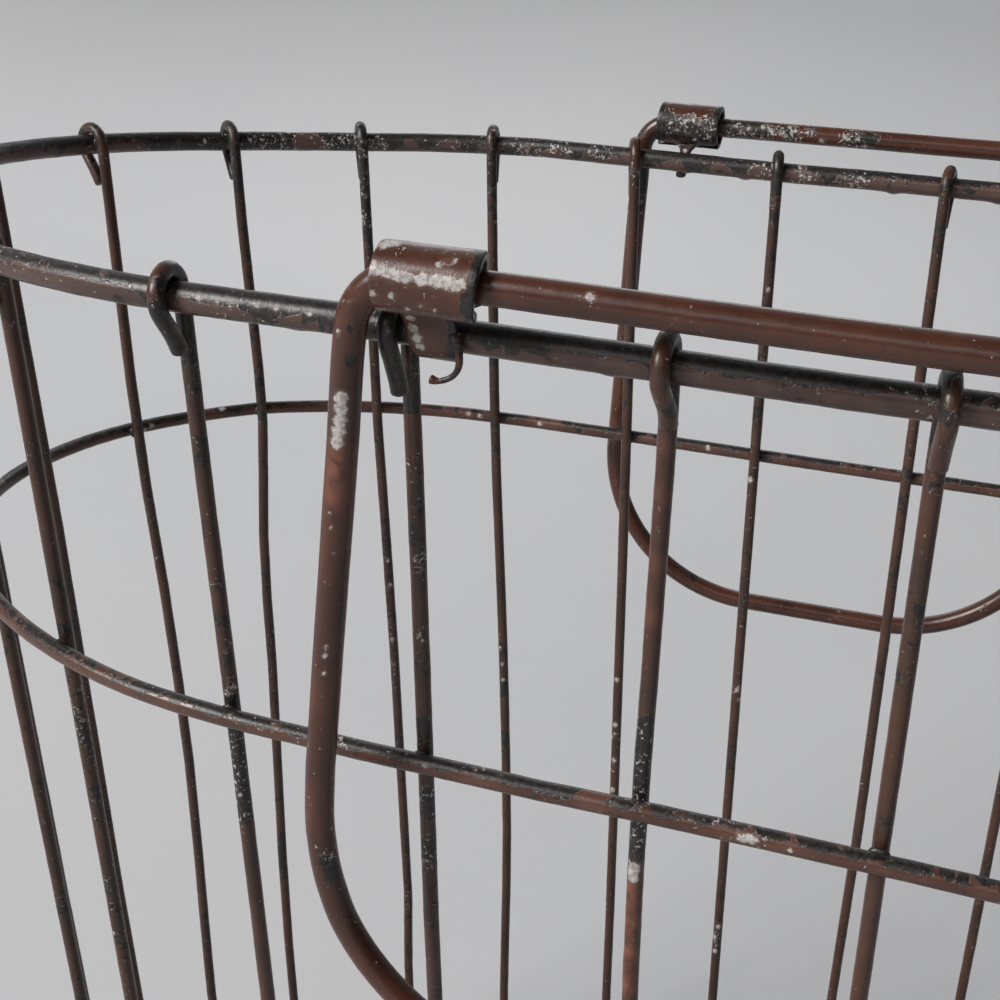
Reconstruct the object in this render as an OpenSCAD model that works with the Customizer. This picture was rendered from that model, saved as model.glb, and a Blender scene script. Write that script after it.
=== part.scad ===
// Oblong wire basket with round ends and two drop handles.
// Origin: middle of the basket, underside of the lowest floor wires. +Z is up, +X runs along the long walls.
// The walls lean inwards towards the floor, and the old basket is racked a little to one side.

/* [Basket] */
// Height of the rim wire's centre above the floor wires' underside
basket_h = 318; // [280:1:340]
// Half the straight length of each long wall at the rim
straight_half = 85.5; // [84:0.5:88]
// Half the inside width at the rim, between the uprights' centrelines
wall_half = 87.05; // [86.5:0.05:87.5]
// Radius of the round ends' shoulders, to the uprights' centreline
shoulder_r = 120.7; // [119:0.1:122]
// Inward taper of all walls, per millimetre of depth and of distance from the middle
taper = 0.00036; // [0.0003:0.00001:0.0004]
// Sideways lean of the racked basket, per millimetre of depth
rack = 0.0355; // [0:0.0005:0.04]
// Radius of the bend between an upright and its floor run
floor_bend_r = 20; // [15:1:21]

/* [Wire sizes] */
// Diameter of the rim wire
rim_d = 4.9; // [4.6:0.1:5]
// Diameter of the two outer rings
ring_d = 3.4; // [3:0.1:3.6]
// Diameter of the uprights and floor wires
wire_d = 2.8; // [2.6:0.1:2.8]
// Diameter of the handle rods
handle_d = 4.8; // [4.4:0.1:5]
// Drop from the rim's centre to the upper ring's centre
upper_ring_drop = 74.8; // [60:0.1:90]
// Height of the lower ring's centre above the underside
lower_ring_z = 27; // [26.5:0.5:32]

/* [Uprights] */
// Distance between neighbouring crosswise wires
cross_pitch = 38.1; // [37.5:0.1:38.4]
// Skew of the crosswise wires: half their shift between the two long walls
cross_skew = 3.5; // [3:0.1:4]
// Distance of the second lengthwise wires from the middle line
long_y1 = 33.5; // [30:0.5:36]
// Distance of the outer lengthwise wires from the middle line
long_y2 = 59; // [56:0.5:62]
// Distance of the corner uprights from the middle line
corner_y = 77.4; // [76:0.1:79]
// Centreline radius of the hooks over the rim
hook_r = 4.0; // [4:0.05:4.2]
// Turn of each hook about its upright
hook_twist = 6; // [2:1:12]
// Turn of the hooks that stand behind the handles' arms, which keeps them clear of the rods
arm_twist = 16; // [14:1:20]
// How far each hook turns over the rim, back towards its upright
hook_turn = 208; // [196:1:208]
// Length of the straight tail after the hook
tail_len = 8.6; // [5:0.2:8.8]

/* [Handles] */
// Height of the handle pivot above the rim wire's centre
pivot_up = 9; // [9:0.1:9.5]
// Distance of the handle pivot outside the rim wire's centre
pivot_out = 8.1; // [8:0.05:8.2]
// Distance from the pivot down to the grip's centreline
handle_drop = 132.6; // [120:0.2:140]
// Half the width between the arms at the pivot
handle_half = 60.4; // [60:0.1:61]
// Sideways shift of each handle from the middle of its wall
handle_shift = 1.6; // [1:0.1:2]
// Outward lean of the front handle's arms
front_flare = 3; // [0:0.1:4]
// Outward lean of the back handle's arms
back_flare = 0.5; // [0:0.1:4]
// Centreline radius of the handles' upper bends
handle_top_r = 7; // [5:0.1:7.2]
// Centreline radius of the handles' lower bends
handle_low_r = 42; // [20:1:45]

/* [Clips] */
// Length of the short barrels (front left and back right) along the rod
barrel_len1 = 14; // [12:0.5:14]
// Length of the long barrels (front right and back left) along the rod
barrel_len2 = 16; // [12:0.5:16]
// Outer diameter of the barrels
barrel_d = 10.7; // [10.4:0.1:10.8]
// Thickness of the sheet
sheet_t = 1.2; // [1:0.1:1.3]
// Width of the tongues of the short clips, which wrap the rim
tongue_w1 = 8; // [7:0.5:8]
// Width of the tongues of the long clips
tongue_w2 = 4; // [3:0.5:6]
// How far the wide tongues wrap under the rim
tongue_turn1 = 150; // [130:5:160]
// How far the narrow tongues wrap under the rim
tongue_turn2 = 120; // [110:5:160]
// Distance of the short clips from the middle
clip_x1 = 46.5; // [46:0.1:46.5]
// Distance of the long clips from the middle
clip_x2 = 49.7; // [48:0.1:49.8]
// Wire diameter of the curled tail on the front left clip
curl_d = 1.2; // [1:0.1:1.4]

/* [Hidden] */

lap = 0.3;                                 // how far a straight runs into the next bend
swell = 0.04;                              // how much fatter a bend is than its straights
weld = 0.1;                                // how deep crossing wires bite into each other
rim_gap = (rim_d + wire_d) / 2 - weld;     // upright axis to rim axis
ring_gap = (ring_d + wire_d) / 2 - weld;   // upright axis to ring axis
rim_half = wall_half + rim_gap;            // rim axis on the long walls
pivot_z = basket_h + pivot_up;
pivot_y = rim_half + pivot_out;
// Plan of the uprights at the rim: straight walls, 45 degree shoulders, 90 degree noses
nose_r = shoulder_r - (shoulder_r - wall_half) / cos(45);
nose_x = straight_half + (shoulder_r - nose_r) * sin(45);
brown = [0.38, 0.25, 0.20];
dark = [0.28, 0.22, 0.18];
copper = [0.44, 0.27, 0.21];

// Depth below the rim to the plan's scale and sideways shift there
function plan_scale(z) = 1 - taper * z;
function plan_shift(z) = rack * z;
// Direction of the wall's outward normal, from +X, at side distance y on a round end
function end_normal(y) =
    abs(y) <= nose_r * sin(45) ? asin(abs(y) / nose_r) : asin((abs(y) + shoulder_r - wall_half) / shoulder_r);
// Distance along X of the uprights' line at side distance y
function end_x(y) =
    abs(y) <= nose_r * sin(45) ? nose_x + nose_r * cos(end_normal(y)) : straight_half + shoulder_r * cos(end_normal(y));
// Half width of the plan at x, and the wall's turn there, for a point on the long wall or its shoulder
function wall_turn(x) = abs(x) <= straight_half ? 0 : asin((abs(x) - straight_half) / shoulder_r);
function wall_y(x) = wall_half - shoulder_r * (1 - cos(wall_turn(x)));

// A wire run as a chain of steps. [length] is a straight, [radius, angle, roll] is a bend
// towards the local +X, after turning the bend's plane by roll about the wire.
// Bends are a hair fatter than straights, and straights run a little way into them.
module wire_run(d, steps, i = 0) {
    if (i < len(steps)) {
        s = steps[i];
        if (len(s) == 1) {
            translate([0, 0, -lap]) cylinder(d = d, h = s[0] + 2 * lap, $fn = 24);
            translate([0, 0, s[0]]) wire_run(d, steps, i + 1);
        } else {
            rotate([0, 0, s[2]]) {
                rotate([90, 0, 180]) translate([-s[0], 0, 0])
                    rotate_extrude(angle = s[1], $fn = 96) translate([s[0], 0]) circle(d = d + swell, $fn = 24);
                translate([s[0] * (1 - cos(s[1])), 0, s[0] * sin(s[1])]) rotate([0, s[1], 0])
                    rotate([0, 0, -s[2]]) wire_run(d, steps, i + 1);
            }
        }
    }
}

// A closed hoop outside the uprights at depth z, its axis gap outside theirs
module oblong_hoop(d, gap, z) {
    k = plan_scale(z);
    s = 2 * straight_half * k;
    j = [2 * lap];
    a = [shoulder_r * k + gap, 45, 0];
    b = [nose_r * k + gap - 2 * lap, 90, 0];
    translate([plan_shift(z) - s / 2, -(wall_half * k + gap), basket_h - z]) rotate([90, 0, 0]) rotate([0, 90, 0])
        wire_run(d, [[s], a, j, b, j, a, [s], a, j, b, j, a]);
}

// U-shaped wire in the local XZ plane, hanging from the rim at z = 0 to a floor run at z = -drop.
// Each side is [distance of the upright from the middle, inward lean, roll of its hook]
module u_wire(drop, left, right) {
    r = floor_bend_r;
    g = hook_r * cos(hook_twist);
    function top(side) = [side[0] - g * (1 - cos(side[1])), g * sin(side[1])];
    function leg(side) = (drop + top(side)[1] - r * (1 - sin(side[1]))) / cos(side[1]);
    function foot(side) = top(side)[0] - leg(side) * sin(side[1]) - r * cos(side[1]);
    translate([-top(left)[0], 0, top(left)[1]]) {
        rotate([0, 180 - left[1], 0])
            wire_run(wire_d, [[leg(left)], [r, 90 - left[1], 180], [foot(left) + foot(right)],
                [r, 90 - right[1], 180], [leg(right)], [hook_r, hook_turn, right[2]], [tail_len]]);
        rotate([0, -left[1], 0]) wire_run(wire_d, [[hook_r, hook_turn, left[2]], [tail_len]]);
    }
}

// Crosswise wire at x, its near end shifted by +skew and its far end by -skew
module cross_wire(x, near_twist = hook_twist, far_twist = hook_twist) {
    side = x < 0 ? 1 : -1;
    near = x + cross_skew;
    far = x - cross_skew;
    turn = atan(cross_skew / wall_half);
    tilt = atan(rack - taper * x);
    drift = tan(tilt) * sin(turn);
    function lean(y, drift) = atan(cos(tilt) * (taper * y + drift) / cos(turn));
    translate([x, 0, basket_h]) rotate([0, 0, 90 + turn]) rotate([-tilt, 0, 0])
        u_wire((basket_h - wire_d / 2) / cos(tilt),
            [wall_y(near) / cos(turn), lean(wall_y(near), -drift),
                180 - side * near_twist - turn - sign(near) * wall_turn(near)],
            [wall_y(far) / cos(turn), lean(wall_y(far), drift),
                side * far_twist - turn - sign(far) * wall_turn(far)]);
}

// Lengthwise wire at side distance y, its uprights against the round ends
module long_wire(y) {
    x = end_x(y);
    a = end_normal(y) - hook_twist;
    s = y < 0 ? -1 : 1;
    translate([0, y, basket_h]) rotate([-atan(taper * y), 0, 0])
        u_wire(basket_h - wire_d * 1.5, [x, atan(rack + taper * x), 180 - s * a], [x, atan(taper * x - rack), s * a]);
}

// Corner upright where a round end starts: hooks over the rim and under the lower ring
module corner_wire(sx, sy) {
    z = basket_h - lower_ring_z;
    p = [sx * end_x(corner_y), sy * corner_y];
    q = [p[0] * plan_scale(z) + plan_shift(z), p[1] * plan_scale(z)];
    d = p - q;
    azim = atan2(d[1], d[0]);
    lean = atan(norm(d) / z);
    leg = z / cos(lean) + hook_r * cos(hook_twist) * sin(lean);
    out = atan2(sy * sin(end_normal(corner_y)), sx * cos(end_normal(corner_y)));
    translate([q[0], q[1], lower_ring_z]) rotate([0, lean, azim]) {
        wire_run(wire_d, [[leg], [hook_r, hook_turn, out - azim + sx * sy * -hook_twist], [tail_len]]);
        rotate([180, 0, 0]) wire_run(wire_d, [[ring_gap + 0.05, 180, azim - out], [3]]);
    }
}

// Closed drop handle hanging from its pivot, in the local XZ plane with the pivot line at z = 0
module handle(flare) {
    r1 = handle_top_r;
    r2 = handle_low_r;
    bar_half = handle_half - r1;
    arm = (handle_drop - r1 * (1 - sin(flare)) - r2 * (1 + sin(flare))) / cos(flare);
    grip_half = bar_half + r1 * cos(flare) + arm * sin(flare) - r2 * cos(flare);
    translate([-bar_half, 0, 0]) rotate([0, 90, 0])
        wire_run(handle_d, [[2 * bar_half],
            [r1, 90 - flare, 0], [arm], [r2, 90 + flare, 0],
            [2 * grip_half],
            [r2, 90 + flare, 0], [arm], [r1, 90 - flare, 0]]);
}

// Rolled clip: a barrel around the handle's bar, and a tongue that wraps the rim.
// Local frame: rim axis along X at the origin, +Y outwards; the tongue is shifted along X
module clip(barrel_len, tongue_w, tongue_turn, shift) {
    t = sheet_t;
    by = pivot_out;
    bz = pivot_up;
    inner = rim_d / 2 + 0.05;
    difference() {
        union() {
            translate([-barrel_len / 2, by, bz]) rotate([0, 90, 0]) cylinder(d = barrel_d, h = barrel_len, $fn = 48);
            translate([shift - tongue_w / 2 + 0.02, inner + 0.02, -0.3])
                cube([tongue_w - 0.04, t - 0.04, bz + 0.3]);
            translate([shift - tongue_w / 2, 0, 0]) rotate([0, 90, 0]) rotate([0, 0, 90 - tongue_turn])
                rotate_extrude(angle = tongue_turn, $fn = 72) translate([inner, 0]) square([t, tongue_w]);
        }
        translate([-barrel_len / 2 - 1, by, bz]) rotate([0, 90, 0])
            cylinder(d = barrel_d - 2 * t, h = barrel_len + 2, $fn = 48);
    }
}

// Thin curled tail that starts on a tongue's edge and curls down and back under it
module curl() {
    translate([0.2, (rim_d + sheet_t) / 2 + 0.05, -2.6]) rotate([90, 0, 0]) rotate([0, 0, 130])
        rotate_extrude(angle = 145, $fn = 72) translate([3.6, 0]) circle(d = curl_d, $fn = 20);
}

module short_clip() { clip(barrel_len1, tongue_w1, tongue_turn1, 1.3); }
module long_clip() { clip(barrel_len2, tongue_w2, tongue_turn2, 0); }
module place_front(x) { translate([x, -rim_half, basket_h]) rotate([0, 0, 180]) children(); }
module place_back(x) { translate([x, rim_half, basket_h]) children(); }

module rim_hoop() color(dark) oblong_hoop(rim_d, rim_gap, 0);
module upper_ring() color(brown) oblong_hoop(ring_d, ring_gap, upper_ring_drop);
module lower_ring() color(brown) oblong_hoop(ring_d, ring_gap, basket_h - lower_ring_z);
module cross_wire_1() color(dark) cross_wire(-2.5 * cross_pitch);
module cross_wire_2() color(dark) cross_wire(-1.5 * cross_pitch, hook_twist, arm_twist);
module cross_wire_3() color(dark) cross_wire(-0.5 * cross_pitch);
module cross_wire_4() color(dark) cross_wire(0.5 * cross_pitch);
module cross_wire_5() color(dark) cross_wire(1.5 * cross_pitch, arm_twist, hook_twist);
module cross_wire_6() color(dark) cross_wire(2.5 * cross_pitch);
module long_wire_1() color(dark) long_wire(-long_y2);
module long_wire_2() color(dark) long_wire(-long_y1);
module long_wire_3() color(dark) long_wire(0);
module long_wire_4() color(dark) long_wire(long_y1);
module long_wire_5() color(dark) long_wire(long_y2);
module corner_wire_1() color(dark) corner_wire(-1, -1);
module corner_wire_2() color(dark) corner_wire(1, -1);
module corner_wire_3() color(dark) corner_wire(-1, 1);
module corner_wire_4() color(dark) corner_wire(1, 1);
module handle_front() color(copper) translate([handle_shift, -pivot_y, pivot_z]) handle(front_flare);
module handle_back() color(copper) translate([-handle_shift, pivot_y, pivot_z]) handle(back_flare);
module clip_front_left() color(copper) place_front(-clip_x1) { short_clip(); curl(); }
module clip_front_right() color(copper) place_front(clip_x2) long_clip();
module clip_back_left() color(copper) place_back(-clip_x2) long_clip();
module clip_back_right() color(copper) place_back(clip_x1) short_clip();

rim_hoop();
upper_ring();
lower_ring();
cross_wire_1();
cross_wire_2();
cross_wire_3();
cross_wire_4();
cross_wire_5();
cross_wire_6();
long_wire_1();
long_wire_2();
long_wire_3();
long_wire_4();
long_wire_5();
corner_wire_1();
corner_wire_2();
corner_wire_3();
corner_wire_4();
handle_front();
handle_back();
clip_front_left();
clip_front_right();
clip_back_left();
clip_back_right();
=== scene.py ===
"""Looks for the wire locker basket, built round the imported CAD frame."""
import math

import bpy
import bmesh
import numpy as np
from mathutils import Matrix, Vector


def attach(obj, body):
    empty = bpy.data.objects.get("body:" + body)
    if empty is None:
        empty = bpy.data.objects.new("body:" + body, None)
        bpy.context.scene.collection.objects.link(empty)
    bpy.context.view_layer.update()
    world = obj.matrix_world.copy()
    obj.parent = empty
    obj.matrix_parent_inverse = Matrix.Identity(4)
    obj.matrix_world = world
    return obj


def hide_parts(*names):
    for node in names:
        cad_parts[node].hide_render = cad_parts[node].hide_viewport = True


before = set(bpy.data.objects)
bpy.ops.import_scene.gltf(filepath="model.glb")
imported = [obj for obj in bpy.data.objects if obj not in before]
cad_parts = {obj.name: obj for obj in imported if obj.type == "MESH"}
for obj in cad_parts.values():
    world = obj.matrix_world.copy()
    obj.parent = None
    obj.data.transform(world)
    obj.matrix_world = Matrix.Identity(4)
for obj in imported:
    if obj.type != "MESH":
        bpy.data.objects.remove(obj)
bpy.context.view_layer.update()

# ---------------------------------------------------------------- sizes, in mm, as in the CAD source
H = 318.0
STRAIGHT, WALL, SHOULDER = 85.5, 87.05, 120.7
TAPER, RACK, FLOOR_R = 0.00036, 0.0355, 20.0
RIM_D, RING_D, WIRE_D, ROD_D = 4.9, 3.4, 2.8, 4.8
RING_DROP, LOW_Z = 74.8, 27.0
PITCH, SKEW = 38.1, 3.5
Y1, Y2, YC = 33.5, 59.0, 77.4
HOOK_R, TWIST, ARM_TWIST, HOOK_TURN, TAIL = 4.0, 6.0, 16.0, 208.0, 8.6
P_UP, P_OUT, DROP = 9.0, 8.1, 132.6
H_HALF, H_SHIFT, TOP_R, LOW_R = 60.4, 1.6, 7.0, 42.0
FLARE = {"front": 3.0, "back": 0.5}
B_D, SHEET = 10.7, 1.2
WELD = 0.1
RIM_GAP = (RIM_D + WIRE_D) / 2 - WELD
RING_GAP = (RING_D + WIRE_D) / 2 - WELD
RIM_HALF = WALL + RIM_GAP
NOSE = SHOULDER - (SHOULDER - WALL) / math.cos(math.radians(45))
NOSE_X = STRAIGHT + (SHOULDER - NOSE) * math.sin(math.radians(45))


def sin(a): return math.sin(math.radians(a))
def cos(a): return math.cos(math.radians(a))
def asin(v): return math.degrees(math.asin(v))
def atan(v): return math.degrees(math.atan(v))
def atan2(a, b): return math.degrees(math.atan2(a, b))


def plan_scale(z): return 1 - TAPER * z


def end_normal(y):
    return asin(abs(y) / NOSE) if abs(y) <= NOSE * sin(45) else asin((abs(y) + SHOULDER - WALL) / SHOULDER)


def end_x(y):
    return (NOSE_X + NOSE * cos(end_normal(y))) if abs(y) <= NOSE * sin(45) else STRAIGHT + SHOULDER * cos(end_normal(y))


def wall_turn(x): return 0 if abs(x) <= STRAIGHT else asin((abs(x) - STRAIGHT) / SHOULDER)
def wall_y(x): return WALL - SHOULDER * (1 - cos(wall_turn(x)))


# ---------------------------------------------------------------- small matrix helpers
def T(x, y, z):
    m = np.eye(4); m[:3, 3] = (x, y, z); return m


def R(ax, a):
    c, s = cos(a), sin(a)
    m = np.eye(4)
    i, j = {"x": (1, 2), "y": (2, 0), "z": (0, 1)}[ax]
    m[i, i] = c; m[j, j] = c; m[i, j] = -s; m[j, i] = s
    return m


def pt(m, x, y, z): return (m @ np.array([x, y, z, 1.0]))[:3]


def run(m, steps, step=1.0):
    """Centreline points of a chain of straights and bends, as the CAD's wire_run draws it."""
    out = [pt(m, 0, 0, 0)]
    for s in steps:
        if len(s) == 1:
            n = max(1, int(round(s[0] / step)))
            for k in range(1, n + 1):
                out.append(pt(m, 0, 0, s[0] * k / n))
            m = m @ T(0, 0, s[0])
        else:
            r, a, roll = s
            m = m @ R("z", roll)
            n = max(4, int(round(math.radians(a) * r / min(step, r * 0.22))))
            for k in range(1, n + 1):
                t = a * k / n
                out.append(pt(m, r * (1 - cos(t)), 0, r * sin(t)))
            m = m @ T(r * (1 - cos(a)), 0, r * sin(a)) @ R("y", a) @ R("z", -roll)
    return np.array(out)


# ---------------------------------------------------------------- noise, in numpy
def _hash(ix, iy, iz, seed):
    h = (ix * 374761393 + iy * 668265263 + iz * 1440662683 + seed * 974634777) & 0xFFFFFFFF
    h = ((h ^ (h >> 13)) * 1274126177) & 0xFFFFFFFF
    h = ((h ^ (h >> 15)) * 2246822519) & 0xFFFFFFFF
    return ((h ^ (h >> 16)) & 0xFFFFFF) / float(0xFFFFFF)


def vnoise(p, seed=0):
    p = np.asarray(p, float)
    i = np.floor(p).astype(np.int64)
    f = p - i
    u = f * f * (3 - 2 * f)
    out = 0
    for dx in (0, 1):
        for dy in (0, 1):
            for dz in (0, 1):
                w = (u[:, 0] if dx else 1 - u[:, 0]) * (u[:, 1] if dy else 1 - u[:, 1]) * (u[:, 2] if dz else 1 - u[:, 2])
                out = out + w * _hash(i[:, 0] + dx, i[:, 1] + dy, i[:, 2] + dz, seed)
    return out * 2 - 1


def fbm(p, seed=0, octaves=3):
    out, amp, tot = 0, 1.0, 0
    for k in range(octaves):
        out = out + amp * vnoise(np.asarray(p) * 2 ** k + 17.3 * k, seed + k)
        tot += amp
        amp *= 0.5
    return out / tot


def sstep(a, b, x):
    t = np.clip((x - a) / (b - a), 0, 1)
    return t * t * (3 - 2 * t)


def bump_at(x, c, w):
    return np.exp(-((x - c) / w) ** 2)


# ---------------------------------------------------------------- tubes
def resample(p, step):
    d = np.r_[0, np.cumsum(np.linalg.norm(np.diff(p, axis=0), axis=1))]
    keep = np.r_[True, np.diff(d) > 1e-6]
    p, d = p[keep], d[keep]
    n = max(3, int(round(d[-1] / step)))
    s = np.linspace(0, d[-1], n + 1)
    return np.c_[np.interp(s, d, p[:, 0]), np.interp(s, d, p[:, 1]), np.interp(s, d, p[:, 2])]


def frames(p, closed):
    t = np.gradient(p, axis=0)
    if closed:
        t = np.roll(p, -1, 0) - np.roll(p, 1, 0)
    t /= np.linalg.norm(t, axis=1)[:, None]
    up = np.array([0, 0, 1.0]) if abs(t[0][2]) < 0.8 else np.array([0, 1.0, 0])
    u = np.cross(t[0], np.cross(up, t[0]))
    u /= np.linalg.norm(u)
    us = [u]
    for k in range(1, len(p)):
        v = us[-1] - t[k] * np.dot(us[-1], t[k])
        us.append(v / np.linalg.norm(v))
    us = np.array(us)
    if closed:  # spread the closing twist along the loop
        v = us[-1] - t[0] * np.dot(us[-1], t[0])
        v /= np.linalg.norm(v)
        a = math.atan2(np.dot(np.cross(v, us[0]), t[0]), np.dot(v, us[0]))
        w = np.linspace(0, a, len(p))
        b = np.cross(t, us)
        us = us * np.cos(w)[:, None] + b * np.sin(w)[:, None]
    return t, us, np.cross(t, us)


def add_attr(me, name, vals):
    a = me.attributes.new(name, "FLOAT", "POINT")
    a.data.foreach_set("value", np.asarray(vals, np.float32))


def mesh_obj(name, verts, faces, attrs, mat, smooth=True):
    me = bpy.data.meshes.new(name)
    me.from_pydata((np.asarray(verts) / 1000.0).tolist(), [], faces)
    for k, v in attrs.items():
        add_attr(me, k, v)
    me.materials.append(mat)
    if smooth:
        me.polygons.foreach_set("use_smooth", [True] * len(me.polygons))
    me.update()
    o = bpy.data.objects.new(name, me)
    bpy.context.scene.collection.objects.link(o)
    return o


def grid_faces(n, m, closed_n, closed_m=True):
    i = np.arange(n if closed_n else n - 1)[:, None]
    j = np.arange(m if closed_m else m - 1)[None, :]
    a = i * m + j
    b = ((i + 1) % n) * m + j
    c = ((i + 1) % n) * m + (j + 1) % m
    d = i * m + (j + 1) % m
    return np.stack(np.broadcast_arrays(a, d, c, b), -1).reshape(-1, 4).tolist()


def sweep(p, rad, segs, closed=False, rough=0.05, seed=1, paint=None, lumps=()):
    """Tube round points p (mm). rad is one radius or one per point. Returns verts, faces, attributes."""
    p = np.asarray(p, float)
    n = len(p)
    t, u, b = frames(p, closed)
    rad = np.broadcast_to(rad, n).astype(float)
    th = np.arange(segs) / segs * 2 * math.pi
    nor = u[:, None, :] * np.cos(th)[None, :, None] + b[:, None, :] * np.sin(th)[None, :, None]
    flat_n = nor.reshape(-1, 3)
    base = np.repeat(p, segs, 0)
    surf = base + flat_n * np.repeat(rad, segs)[:, None]
    bulge = rough * (0.55 * fbm(surf / 5.0, seed) + 0.45 * fbm(surf / 1.9, seed + 9))
    for c, w, h in lumps:  # hanging drips and nubs: centre, width, height, all mm
        d2 = np.sum((surf - np.asarray(c)) ** 2, 1)
        bulge = bulge + h * np.exp(-d2 / w ** 2)
    surf = surf + flat_n * bulge[:, None]
    faces = grid_faces(n, segs, closed)
    verts = surf
    if not closed:
        k = len(verts)
        inset = np.repeat(rad[[0, -1]], segs) * 0.22
        r0 = base[:segs] + flat_n[:segs] * (rad[0] - inset[:segs])[:, None] - t[0] * inset[0]
        r1 = base[-segs:] + flat_n[-segs:] * (rad[-1] - inset[segs:])[:, None] + t[-1] * inset[-1]
        verts = np.r_[surf, r0, r1, [p[0] - t[0] * inset[0]], [p[-1] + t[-1] * inset[-1]]]
        for j in range(segs):
            j2 = (j + 1) % segs
            faces.append([j2, j, k + j, k + j2])
            faces.append([(n - 1) * segs + j, (n - 1) * segs + j2, k + segs + j2, k + segs + j])
            faces.append([k + j2, k + j, k + 2 * segs])
            faces.append([k + segs + j, k + segs + j2, k + 2 * segs + 1])
        extra_n = np.r_[flat_n[:segs], flat_n[-segs:], [-t[0]], [t[-1]]]
        flat_n = np.r_[flat_n, extra_n]
    along = np.repeat(np.arange(n) / max(1, n - 1), segs)
    if len(verts) > len(along):
        along = np.r_[along, np.zeros(segs), np.ones(segs), 0, 1]
    return verts, faces, (paint or plain_paint)(verts, flat_n, along)


def merge(parts):
    vs, fs, at, k = [], [], {}, 0
    for v, f, a in parts:
        vs.append(v)
        fs += [[i + k for i in q] for q in f]
        for key, val in a.items():
            at.setdefault(key, []).append(val)
        k += len(v)
    return np.concatenate(vs), fs, {key: np.concatenate(val) for key, val in at.items()}


# ---------------------------------------------------------------- paint: where it is worn
def plain_paint(v, n, s):
    z = np.zeros(len(v))
    return {"dark": z + 0.3, "fleck": z + 0.15, "cop": z, "bare_and_sheen": z}
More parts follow.
